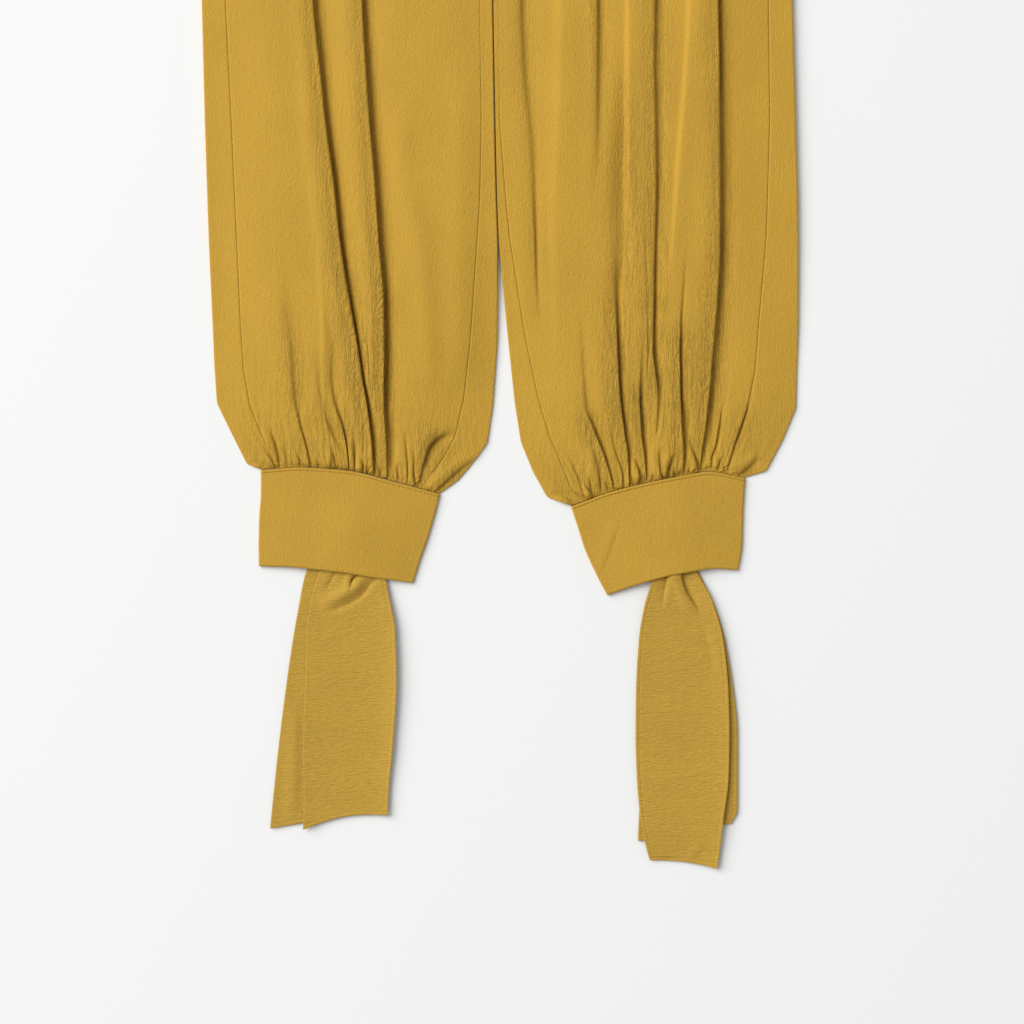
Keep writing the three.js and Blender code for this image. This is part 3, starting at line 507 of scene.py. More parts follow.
LEFT_SWELLS = [table_of(SWELL_COLUMNS, path) for path in (
    [(138, -130, 0, 16, 5), (139, -86, 1.6, 18, 5), (140, 31, 2.2, 20, 5), (139, 139, 2.2, 20, 5),
     (137, 250, 0, 18, 5)],
    [(192, -180, 0, 20, 8), (196, -110, 1.4, 24, 8), (197, -60, 2.8, 26, 8), (197, 31, 3.6, 26, 8),
     (195, 139, 3.6, 26, 8), (193, 250, 0, 20, 8)],
    [(54, -190, 0, 5, 24), (52.5, -122, 1.2, 6, 30), (52, -41, 1.8, 7, 32), (56, 31, 2.4, 8, 28),
     (58, 139, 2.6, 8, 26), (56, 250, 0, 9, 26)],
    [(119, -90, 0, 3, 12), (118, -70, 0.3, 2.4, 12), (117, -41, 0.8, 2, 12), (117, 31, 1.4, 1.8, 12),
     (116, 139, 1.8, 1.8, 12), (114, 250, 0, 2, 12)],
    [(153, -130, 0, 3, 16), (156.4, -86, 1.3, 2.4, 14), (162.6, 4, 2.8, 2, 14), (169, 85, 2.5, 1.9, 14),
     (171.5, 139, 2.3, 2, 14), (173, 250, 0, 3, 14)],
)]


def leg_rows(leg, inner_side):
    """Every row of a leg's mesh as columns like its table's, between the sections in straight lines
    whose corners are softened over a few rows. Above the crotch the inner edge is the centre seam"""
    stretches = [np.linspace(i, i + 1, int(n), endpoint=False) for i, n in enumerate(leg["rows"][:-1])]
    places = np.concatenate([*stretches, [len(leg["rows"]) - 1]])
    rows = {name: np.interp(places, np.arange(len(values)), values) for name, values in leg.items()}
    for values in rows.values():
        for _ in range(2):
            values[1:-1] = (values[:-2] + 2 * values[1:-1] + values[2:]) / 4
    above = rows["y0"] > CROTCH + 1
    rows[f"x{inner_side}"][above] = leg[f"x{inner_side}"][-1]
    rows[f"wrap{inner_side}"][above] = 0
    return rows


def spread(low, high, count, places, pulls):
    """Points between low and high in every row, closer together near the given places: equal shares
    of an area whose density is one plus a bell at each place"""
    even = np.linspace(0, 1, 900)
    x = low[:, None] + (high - low)[:, None] * even
    density = np.ones_like(x)
    for place, pull in zip(places, pulls):
        density += pull[:, None] * bell(x - place[:, None], 3.5)
    for edge in (low, high):
        density += 2 * bell(x - edge[:, None], 2)
    share = np.cumsum(density, axis=1)
    share = (share - share[:, :1]) / (share[:, -1:] - share[:, :1])
    return np.stack([np.interp(np.linspace(0, 1, count), *pair) for pair in zip(share, x)])


def row_y(rows, x, rise):
    """y of the points x of every row: straight from edge to edge, plus the row's share of the rise of
    the cuff's seam"""
    across = np.clip((x - rows["x0"][:, None]) / (rows["x1"] - rows["x0"])[:, None], 0, 1)
    straight = rows["y0"][:, None] + (rows["y1"] - rows["y0"])[:, None] * across
    return straight + rows["follow"][:, None] * smooth_line(QUARTERS, rise, across)


def along(path):
    """A path's table at even steps of its length"""
    length = np.concatenate([[0], np.cumsum(np.hypot(np.diff(path["x"]), np.diff(path["y"])))])
    steps = np.linspace(0, length[-1], int(length[-1] / PATH_STEP) + 8)
    return {name: smooth_line(length, values, steps) for name, values in path.items()}


def beside(x, y, path):
    """For every point: its place along an evenly stepped path, its distance to the right of the path
    seen along it, how far it lies past the path's ends, and the direction to the right there"""
    step_x, step_y = np.gradient(path["x"]), np.gradient(path["y"])
    size = np.hypot(step_x, step_y)
    nearest = np.argmin((x[:, None] - path["x"]) ** 2 + (y[:, None] - path["y"]) ** 2, axis=1)
    gap_x, gap_y = x - path["x"][nearest], y - path["y"][nearest]
    side_x, side_y = (step_y / size)[nearest], (-step_x / size)[nearest]
    off = gap_x * side_x + gap_y * side_y
    ahead = nearest + (gap_y * side_x - gap_x * side_y) / size[nearest]
    place = np.clip(ahead, 0, len(size) - 1)
    return place, off, np.abs(ahead - place) * size[nearest], side_x, side_y


def fold(points, x, y, crest, path, calm=1):
    """Lays a fold into the points. Seen along its path the cloth climbs from the left in a bell of the
    crest's width, drops off a steep side and leaves a trough that fills up again to the right. The
    trough is a wide, a middle and, under a crisp side, a slit-like bell. Where the rise is below 0,
    the cloth slopes down to the steep side. A crisp fold leans over its trough and is creased"""
    reach = 3 * max(crest, path["trough"].max(), WIDE_TROUGH)
    near = ((x > path["x"].min() - reach) & (x < path["x"].max() + reach)
            & (y > path["y"].min() - 12) & (y < path["y"].max() + 12))
    path = along(path)
    place, off, past, side_x, side_y = beside(x[near], y[near], path)
    at = {name: np.interp(place, np.arange(len(path["x"])), path[name])
          for name in ("rise", "depth", "trough", "soft")}
    here = bell(past, 4) * (calm[near] if np.ndim(calm) else calm)
    climb = bell(off + 0.8 * crest * (at["rise"] > 0), crest)
    fallen = 1 / (1 + np.exp(-np.clip(off / (0.5 * at["soft"]), -40, 40)))
    away = np.maximum(off, 0)
    wide = np.maximum(at["trough"], WIDE_TROUGH)
    widest = 10 + 0.6 * np.maximum(at["trough"] - 18, 0) + 3 * np.maximum(at["soft"] - 1, 0)
    middle = np.minimum(0.75 * at["trough"], widest)
    slit = np.minimum(0.4 * at["trough"], SLIT)
    slit_share = 0.6 * bell(at["soft"], 0.9)
    trough = (0.24 * bell(away, wide)
              + (0.78 - 0.8 * slit_share) * bell(away, middle)
              + slit_share * bell(away, slit)) * fallen
    points[near, 2] += here * (at["rise"] * climb * (1 - fallen) - at["depth"] * trough)
    lean = 0.34 * (at["rise"] + at["depth"]) * np.exp(-at["soft"] / 1.2 - ((off + 0.7) / 1.3) ** 2)
    points[near, 0] += here * lean * side_x
    points[near, 1] += here * lean * side_y
    if points.shape[-1] == 4:
        creased = here * np.clip((at["depth"] - 1) / 4, 0, 1) * bell(off, 15)
        points[near, 3] = np.maximum(points[near, 3], creased)


def swell(points, x, y, path):
    """Lays a soft ridge along a path into the points: half a bell up at its left and half a bell down
    at its right, each with a width of its own"""
    path = along(path)
    place, off, past, _, _ = beside(x.ravel(), y.ravel(), path)
    at = {name: np.interp(place, np.arange(len(path["x"])), path[name])
          for name in ("rise", "left", "right")}
    width = np.where(off < 0, at["left"], at["right"])
    ridge = at["rise"] * np.exp(-((off / width) ** 2) - (past / 8) ** 2)
    points[..., 2] += ridge.reshape(x.shape)


def pucker_path(puckers, i):
    """A pucker as a fold's path: full at its foot, gone at its head, bowed to the right between them"""
    read = {name: values[i] for name, values in puckers.items()}
    part = np.array([0, 0.35, 0.7, 1])
    run_x, run_y = read["head_x"] - read["foot_x"], read["head_y"] - read["foot_y"]
    size = np.hypot(run_x, run_y)
    bow = read["bow"] * 4 * part * (1 - part)
    return {
        "x": read["foot_x"] + run_x * part + bow * run_y / size,
        "y": read["foot_y"] + run_y * part - bow * run_x / size,
        "rise": 0.5 * read["rise"] * np.array([1, 1, 0.6, 0]),
        "depth": 1.15 * read["rise"] * np.array([1.1, 1, 0.6, 0]),
        "trough": read["trough"] * np.array([1, 1.2, 1.5, 1.7]),
        "soft": np.array([0.4, 0.5, 0.8, 1.6]),
    }


def gather_at_waist(points, y, across, calm):
    """Adds the gathers that fade out below the waist: 17 waves across the leg, uneven in width"""
    phase = 2 * np.pi * (across * 17 + 0.6 * np.sin(across * 23) + 0.3 * np.sin(y / 90 + across * 40))
    points[..., 2] += 1.5 * np.sin(phase) * np.exp(-(WAIST_SEAM - y) / 45) * calm


def gather_at_cuff(points, x, y, across, calm):
    """Adds the gathers beside the cuff: 27 bulges with narrow valleys between them, highest at the
    seam, and a fine crinkle. The folds' creases are sharpest some 80 mm from the cuff, and next to the
    cuff all of the cloth is creased"""
    from_cuff = np.maximum(y - y[:1], 0)
    fan = np.pi * (27 * across + 0.8 * np.sin(across * 31) + 0.45 * np.sin(across * 57 + y / 14))
    bulge = np.sqrt(np.sin(fan) ** 2 + 0.012) * (0.6 + 0.4 * np.sin(across * 43 + 1 + y / 26)) - 0.35
    points[..., 2] += calm * bulge * (1.3 * bell(from_cuff, 7) + 0.95 * bell(from_cuff, 42))
    crinkle = np.sin(x / 1.25 + 1.6 * np.sin(y / 12 + x / 9) + 0.8 * np.sin(y / 5.1 - x / 17))
    crinkle *= np.sin(y / 14 + 1.7 * np.sin(x / 8) + x / 5)
    points[..., 2] += 0.24 * calm * crinkle * bell(from_cuff, 75)
    points[..., 3] *= 0.8 + 0.9 * bell(from_cuff, 170) - 0.8 * bell(from_cuff, 45)
    points[..., 3] = np.maximum(points[..., 3], 0.7 * calm * bell(from_cuff, 40))


def lay(rows, x, y, folds, puckers, swells):
    """The upper layer of a leg over its flat place (x, y): puffed up between the edges, with the soft
    ridges, the folds, the puckers, a slow waviness and the gathers at both ends added. Its fourth
    number is how far it is creased"""
    x0, x1 = rows["x0"][:, None], rows["x1"][:, None]
    across = (x - x0) / (x1 - x0)
    edge = (rows["rise0"][:, None] * np.exp(-(x - x0) / EDGE_REACH)
            + rows["rise1"][:, None] * np.exp(-(x1 - x) / EDGE_REACH))
    inset = np.maximum(np.minimum(x - x0, x1 - x), 0)
    tuck = np.tanh(inset / PUFF_REACH) ** 1.2
    height = LAYER + edge + (rows["puff"][:, None] - edge) * tuck
    points = np.stack([x, y, height, np.zeros_like(x)], axis=-1)
    calm = 1 - bell(inset, 9)
    for path in swells:
        swell(points, x, y, path)
    for crest, path in folds:
        fold(points, x, y, crest, path, calm)
    for i in range(len(puckers["rise"])):
        fold(points, x, y, puckers["crest"][i], pucker_path(puckers, i))
    gather_at_waist(points, y, across, calm)
    points[..., 2] += 0.25 * calm * np.sin(x / 21 + y / 160) * np.sin(x / 33 - y / 95 + 1)
    gather_at_cuff(points, x, y, across, calm)
    return points


def seam_dip(points, x, seam):
    """Draws the cloth down into a seam at x = seam. The seam next to the line between the legs is a
    quarter as deep in the 150 mm below the crotch, and deepens again over the next 100 mm"""
    y = points[:, :1, 1]
    below = CROTCH - 150 - np.minimum(y, CROTCH - 150)
    hidden = 0.75 * bell(below, 60) * (y < CROTCH) * (abs(seam[len(seam) // 2]) < 40)
    off = np.abs(x - seam[:, None])
    points[..., 2] -= SEAM_DEPTH * (1 - hidden) * np.exp(-((off / SEAM_WIDTH) ** 1.5))


def draw_in(points, x, y):
    """Draws the layer down where it is sewn to the cuff and the waistband, more or less by turns, and
    lets no point of it sink below the least height, with a soft floor"""
    from_cuff = np.maximum(y - y[:1], 0)
    pull = 2.1 + 0.9 * np.sin(x / 2.9 + 1.3 * np.sin(x / 11)) * np.sin(x / 7.3)
    points[..., 2] -= pull * np.exp(-((from_cuff / 1.8) ** 1.6))
    points[..., 2] -= 1.0 * bell(WAIST_SEAM - y, 2)
    points[..., 2] = LEAST + FLOOR * np.logaddexp(0, (points[..., 2] - LEAST) / FLOOR)


def crowding(rows, low, high, folds, rise):
    """For every fold, the x of its steep side in each row, and how strongly the mesh's columns are
    pulled there: fully where the fold is 2 mm deep, and not at all past its upper end"""
    middle = row_y(rows, ((low + high) / 2)[:, None], rise)[:, 0]
    places, pulls = [], []
    for _, path in folds:
        order = np.argsort(path["y"])
        place = np.interp(middle, path["y"][order], path["x"][order])
        y = row_y(rows, place[:, None], rise)[:, 0]
        places.append(np.interp(y, path["y"][order], path["x"][order]))
        pull = 2.4 * np.clip(np.interp(y, path["y"][order], path["depth"][order]) / 2, 0, 1)
        pull *= np.clip((path["y"].max() - y) / 25, 0, 1)
        for _ in range(8):
            pull[1:-1] = (pull[:-2] + 2 * pull[1:-1] + pull[2:]) / 4
        pulls.append(pull)
    return places, pulls


def front_panel(name, leg, folds, puckers, swells, rise, inner_side):
    """The front from seam to seam, with its columns crowded along the folds"""
    rows = leg_rows(leg, inner_side)
    low = rows["x0"] + rows["wrap0"] + 0.05
    high = rows["x1"] - rows["wrap1"] - 0.05
    x = spread(low, high, FRONT_COLUMNS, *crowding(rows, low, high, folds, rise))
    y = row_y(rows, x, rise)
    points = lay(rows, x, y, folds, puckers, swells)
    seam_dip(points, x, low)
    seam_dip(points, x, high)
    draw_in(points, x, y)
    return add_cloth(name, points, np.stack([x, y], axis=-1), LEG_CREPE, CLOTH)


HALF_TURN = np.linspace(0, np.pi, 10)[None, 1:-1]  # round a folded edge
SINKING = 0.5 + 0.5 * np.cos(HALF_TURN)  # the height's share on the way down round the edge
CLIMBING = 0.5 - 0.5 * np.cos(HALF_TURN)


def bends(x0, x1, radius):
    """x of the points round the folded edges of a flat piece from x0 to x1"""
    return x0 + radius - radius * np.sin(HALF_TURN), x1 - radius + radius * np.sin(HALF_TURN)


def side_by_side(*parts):
    """Parts of every row put side by side, and the columns at which they start and end"""
    return np.concatenate(parts, axis=1), np.cumsum([0, *(part.shape[1] for part in parts)])


def back_panel(name, leg, folds, puckers, swells, rise, inner_side):
    """The back: a strip turned onto the front at each side, the fold at each edge of the leg, and the
    stretch that lies on the table. It is one sheet from seam to seam, and the turned strip and fold of
    the inner side end at the crotch"""
    rows = leg_rows(leg, inner_side)
    x0, x1 = rows["x0"][:, None], rows["x1"][:, None]
    joined = rows["y0"][:, None] > CROTCH + 1
    strip = np.linspace(0, 1, 24)[None, :] ** 1.5
    flat = np.linspace(0, 1, 40)[None, :]
    radius = LAYER / 2 - 0.02
    inset0 = np.where(joined & (inner_side == 0), 0.1, radius)
    inset1 = np.where(joined & (inner_side == 1), 0.1, radius)
    seam0, seam1 = x0 + rows["wrap0"][:, None] - 0.05, x1 - rows["wrap1"][:, None] + 0.05
    over1 = seam1 + (x1 - radius - seam1) * strip
    over0 = (seam0 + (x0 + radius - seam0) * strip)[:, ::-1]
    bend0, bend1 = bends(x0, x1, radius)
    under = x1 - inset1 + (x0 + inset0 - x1 + inset1) * flat
    x, starts = side_by_side(over1, bend1, under, bend0, over0)
    base = x.copy()
    base[:, starts[1]:starts[2]] = x1 - radius
    base[:, starts[3]:starts[4]] = x0 + radius
    y = row_y(rows, base, rise)
    top = lay(rows, base, y, folds, puckers, swells)
    seam_dip(top, base, seam0[:, 0])
    seam_dip(top, base, seam1[:, 0])
    draw_in(top, base, y)
    points = np.stack([x, y, np.zeros_like(x), np.zeros_like(x)], axis=-1)
    for first, last in ((starts[0], starts[1]), (starts[4], starts[5])):
        points[:, first:last] = top[:, first:last]
    points[:, starts[1]:starts[2], 2] = top[:, starts[1] - 1, 2, None] * SINKING
    points[:, starts[3]:starts[4], 2] = top[:, starts[4], 2, None] * CLIMBING
    keep = np.ones((x.shape[0] - 1, x.shape[1] - 1), bool)
    above = joined[1:, 0]
    if inner_side == 1:
        keep[above, :starts[2]] = False
    else:
        keep[above, starts[3] - 1:] = False
    return add_cloth(name, points, np.stack([x, y], axis=-1), LEG_CREPE, CLOTH, keep)


LEG_CREPE = crepe("leg_crepe", (0.517, 0.297, 0.0265), 1.05)
LEGS = {
    "right": (RIGHT_LEG, RIGHT_FOLDS, RIGHT_PUCKERS, RIGHT_SWELLS, RIGHT_SEAM_RISE, 1),
    "left": (LEFT_LEG, LEFT_FOLDS, LEFT_PUCKERS, LEFT_SWELLS, LEFT_SEAM_RISE, 0),
}
legs = [front_panel("front_" + side, *parts) for side, parts in LEGS.items()]
legs += [back_panel("back_" + side, *parts) for side, parts in LEGS.items()]


# ---- Thread --------------------------------------------------------------------------------------
# Polyester thread of the cloth's own colour. Each stitch is a short soft bar sunk at both ends.

def thread_material():
    """Matt thread, mottled by a fine noise between two shades"""
    material = bpy.data.materials.new("thread")
    material.use_nodes = True
    nodes, links = material.node_tree.nodes, material.node_tree.links
    shader = nodes["Principled BSDF"]
    fill(shader, {"Roughness": 0.6, "Specular IOR Level": 0.3})
    place = nodes.new("ShaderNodeTexCoord")
    noise = nodes.new("ShaderNodeTexNoise")
    fill(noise, {"Scale": 1500})
    links.new(place.outputs["Object"], noise.inputs["Vector"])
    ramp = nodes.new("ShaderNodeValToRGB")
    ramp.color_ramp.elements[0].color = (0.26, 0.14, 0.014, 1)
    ramp.color_ramp.elements[1].color = (0.40, 0.22, 0.026, 1)
    links.new(noise.outputs["Fac"], ramp.inputs["Fac"])
    links.new(ramp.outputs["Color"], shader.inputs["Base Color"])
    return material


THREAD = thread_material()
STITCH_PITCH = 3.0
STITCH_LENGTH = 2.2
STITCH_RADIUS = 0.22
STITCH_RINGS = 5
STITCH_SIDES = 6


def add_stitches(name, route):
    """A row of stitches along a route of surface points: each a bar of six sides and five rings, full
    in its middle and sunk at its ends, which are closed by two quads each"""
    length = np.concatenate([[0], np.cumsum(np.linalg.norm(np.diff(route, axis=0), axis=1))])
    count = int(length[-1] // STITCH_PITCH)
    starts = (np.arange(count) + 0.2) * STITCH_PITCH
    ring = np.linspace(0, 1, STITCH_RINGS)
    at = starts[:, None] + STITCH_LENGTH * ring
    centre, before, after = (
        np.stack([np.interp(at + step, length, route[:, i]) for i in range(3)], axis=-1)
        for step in (0, -0.2, 0.2))
    ahead = after - before
    ahead /= np.linalg.norm(ahead, axis=-1, keepdims=True)
    side = np.cross(ahead, (0, 0, 1.0))
    side /= np.linalg.norm(side, axis=-1, keepdims=True)
    up = np.cross(side, ahead)
    belly = np.sqrt(np.clip(1 - (2 * ring - 1) ** 4, 0, 1))[:, None, None] * STITCH_RADIUS + 0.03
    centre[..., 2] += 0.16 * np.sin(np.pi * ring) - 0.1
    angle = np.arange(STITCH_SIDES) * np.pi / 3
    points = (centre[:, :, None] + belly * (np.cos(angle)[:, None] * side[:, :, None]
                                            + np.sin(angle)[:, None] * up[:, :, None]))
    grid = np.arange(count * STITCH_RINGS * STITCH_SIDES).reshape(count, STITCH_RINGS, STITCH_SIDES)
    turned = np.roll(grid, -1, axis=2)
    faces = np.stack([grid[:, :-1], turned[:, :-1], turned[:, 1:], grid[:, 1:]], axis=-1).reshape(-1, 4)
    halves = [0, 1, 2, 3], [0, 3, 4, 5]
    ends = [grid[:, 0, half[::-1]] for half in halves] + [grid[:, -1, half] for half in halves]
    faces = np.concatenate([faces, *ends])[:, ::-1]
    points = points.reshape(-1, 3)
    piece = add_mesh(name, points, faces, points[:, :2], THREAD)
    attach(piece, "root")
    return piece


# ---- Cuffs ---------------------------------------------------------------------------------------
# A deep cuff of doubled crepe, stitched along its upper edge, where the leg is gathered into it. It
# is open behind: two wings are turned under the front, and the knot lifts the front in its middle.

CUFF = 0.9  # thickness of the doubled cloth
CUFF_EDGE = 3.0  # height of the folded edges
CUFF_DEPTH = 86  # from the seam to the hem
CUFF_ROWS = 62
CUFF_COLUMNS = 226
LIP = 3.0  # from the upper edge to its row of stitches
BAND_CREPE = crepe("band_crepe", (0.517, 0.297, 0.028), 1.1)

# Corners of each cuff, the heights of its seam and its hem over a straight line at quarters, how far
# its two edges bow outwards at quarters from the hem, and the widths of its two wings at the hem and
# then at the seam
CUFFS = {
    "right": {
        "seam": (-214.2, -283.8, -53.1, -305.4), "seam_rise": RIGHT_SEAM_RISE,
        "hem": (-216, -370.2, -77.4, -385.5), "hem_rise": (0, 2.3, 2.5, 1, 0),
        "bow0": (0, 0.7, 0.6, -0.4, 0), "bow1": (0, 0.2, 1.2, 1, 0),
        "wings": (37, 19, 80, 74), "knot_x": -134.1, "creases": [],
    },
    "left": {
        "seam": (64.8, -316.7, 221.4, -291), "seam_rise": LEFT_SEAM_RISE,
        "hem": (97.2, -396.3, 215.1, -373.8), "hem_rise": (0, 4.3, 6.6, 6.3, 0),
        "bow0": (0, 2.2, 3.2, 1.6, 0), "bow1": (0, 1.8, 1, 0.2, 0),
        "wings": (34, 26, 76, 60), "knot_x": 155.7,
        "creases": [(5, [
            (92, -379, 0, 0, 3, 1.6), (94.8, -371, 0.35, 0.3, 3, 1.2), (101, -352, 0.45, 0.4, 3, 1.2),
            (106.5, -338, 0.35, 0.3, 3, 1.2), (109, -331, 0, 0, 3, 1.6)])],
    },
}
KNOT_Y = -339.6


def cuff(name, seam, seam_rise, hem, hem_rise, bow0, bow1, wings, knot_x, creases):
    """One cuff as a grid that runs from the end of one wing under the edge, over the front and back
    under the other edge. Its rows crowd at the stitched upper edge, and its front is lifted over the
    knot and over the ties at the hem"""
    stitched = np.linspace(0, 5, 16)
    plain = np.linspace(5, CUFF_DEPTH, CUFF_ROWS + 1 - len(stitched))[1:]
    from_seam = np.concatenate([stitched, plain])[::-1]
    up = (1 - from_seam / CUFF_DEPTH)[:, None]
    x0 = hem[0] + (seam[0] - hem[0]) * up - smooth_line(QUARTERS, bow0, up)
    x1 = hem[2] + (seam[2] - hem[2]) * up + smooth_line(QUARTERS, bow1, up)
    radius = CUFF_EDGE / 2
    front = x0 + radius + (x1 - x0 - 2 * radius) * np.linspace(0, 1, CUFF_COLUMNS)
    wing = np.linspace(0, 1, 16)[None, :]
    wing0 = x0 + radius + (wings[0] + (wings[2] - wings[0]) * up) * (1 - wing)
    wing1 = x1 - radius - (wings[1] + (wings[3] - wings[1]) * up) * wing
    bend0, bend1 = bends(x0, x1, radius)
    x, starts = side_by_side(wing0, bend0, front, bend1, wing1)
    across = np.clip((x - x0) / (x1 - x0), 0, 1)
    seam_y = seam[1] + (seam[3] - seam[1]) * across + smooth_line(QUARTERS, seam_rise, across)
    hem_y = hem[1] + (hem[3] - hem[1]) * across + smooth_line(QUARTERS, hem_rise, across)
    y = hem_y + (seam_y - hem_y) * up
    inset = np.maximum(np.minimum(x - x0, x1 - x), 0)
    lift = 1 - np.exp(-((inset / 14) ** 1.5))
    over_knot = np.exp(-(((x - knot_x) / 42) ** 2) - ((y - KNOT_Y) / np.where(y < KNOT_Y, 56, 34)) ** 2)
    over_ties = np.exp(-(((x - knot_x) / 40) ** 2) - ((y - hem_y) / 16) ** 2)
    z = CUFF_EDGE + lift * (0.7 + 3.2 * over_knot + 1.3 * over_ties)
    down = from_seam[:, None] * np.ones_like(x)
    dots = 0.5 + 0.5 * np.cos(2 * np.pi * x / STITCH_PITCH)
    z += 0.4 * bell(down - 1.4, 1.1) - (0.25 + 0.3 * dots) * bell(down - LIP, 0.5)
    z -= 0.8 * bell(down, 0.5)
    z[:, :starts[1]] = 0
    z[:, starts[4]:] = 0
    z[:, starts[1]:starts[2]] = z[:, starts[2], None] * CLIMBING
    z[:, starts[3]:starts[4]] = z[:, starts[3] - 1, None] * SINKING
    points = np.stack([x, y, z], axis=-1)
    on_front = np.zeros(x.shape)
    on_front[:, starts[2]:starts[3]] = 1
    for crest, path in fold_tables(creases):
        fold(points, x, y, crest, path, on_front)
    uv = 1.4 * np.stack([x, y], axis=-1)
    piece = add_cloth(name, points, uv, BAND_CREPE, CUFF)
    row = np.argmin(np.abs(from_seam - LIP))
    add_stitches(name + "_stitches", points[row, starts[1]:starts[4]])
    return piece


cuffs = [cuff("cuff_" + side, **sizes) for side, sizes in CUFFS.items()]


# ---- Knots ---------------------------------------------------------------------------------------
# Behind each cuff its two tie strips are knotted once: a flat bundle of wrapped crepe on the table,
# in the opening between the cuff's wings, and hidden by the cuff's front.

KNOT_WIDTH = 34
KNOT_DEPTH = 28
KNOT_HEIGHT = 4.6
KNOT_SIDES = 48
KNOT_RINGS = 41
TIE_CREPE = crepe("tie_crepe", (0.498, 0.297, 0.035), 1.6)


def knot(name, x):
    """A flattened ball whose rings stand across the knot, with a few slanting creases round it, closed
    at both ends by a zip of quads"""
    turn = np.arange(KNOT_SIDES) * 2 * np.pi / KNOT_SIDES
    tilt = np.linspace(0.06, np.pi - 0.06, KNOT_RINGS)[:, None]
    size = np.sin(tilt) ** 0.55
    crease = 1 - 0.13 * bell(np.sin(1.5 * tilt + turn - 0.8), 0.3) * np.sin(tilt)
    flat = np.stack([
        x - KNOT_WIDTH / 2 * np.cos(tilt) * np.ones_like(turn),
        KNOT_Y + KNOT_DEPTH / 2 * size * crease * np.cos(turn),
        KNOT_HEIGHT / 2 * (1 + size * crease * np.sign(np.sin(turn)) * np.abs(np.sin(turn)) ** 0.7),
    ], axis=-1)
    grid = np.arange(KNOT_RINGS * KNOT_SIDES).reshape(-1, KNOT_SIDES)
    turned = np.roll(grid, -1, axis=1)
    faces = np.stack([grid[:-1], turned[:-1], turned[1:], grid[1:]], axis=-1).reshape(-1, 4)
    half = np.arange(KNOT_SIDES // 2 - 1)
    zip_of = np.stack([half, half + 1, KNOT_SIDES - 2 - half, KNOT_SIDES - 1 - half], axis=-1)
    faces = np.concatenate([faces, grid[0][zip_of][:, ::-1], grid[-1][zip_of]])
    uv = np.stack([turn * 14 * np.ones_like(tilt), flat[..., 0]], axis=-1)
    piece = add_mesh(name + "_cloth", flat.reshape(-1, 3), faces[:, ::-1], uv.reshape(-1, 2), TIE_CREPE)
    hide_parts(name)
    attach(piece, "root")
    return piece


knots = {side: knot("knot_" + side, sizes["knot_x"]) for side, sizes in CUFFS.items()}


# ---- Ties ----------------------------------------------------------------------------------------
# The loose tails of the tie strips come out from under each cuff, one tail on the other. A strip is
# crepe cut across, with its crinkle across it, folded double along one edge and stitched 3 mm inside
# the others.

TIE = 0.8  # thickness of the doubled crepe
HEM = 3.0  # from an edge to its stitches
TIE_ROWS = 104  # from the knot to the hem of the end
TIE_COLUMNS = 42  # between the hems of the sides
HEM_STEPS = np.array([0, 0.3, 0.7, 1.2, 1.8, 2.4, 2.8, 3.0, 3.2, 3.7, 4.5, 6, 8, 10.5])

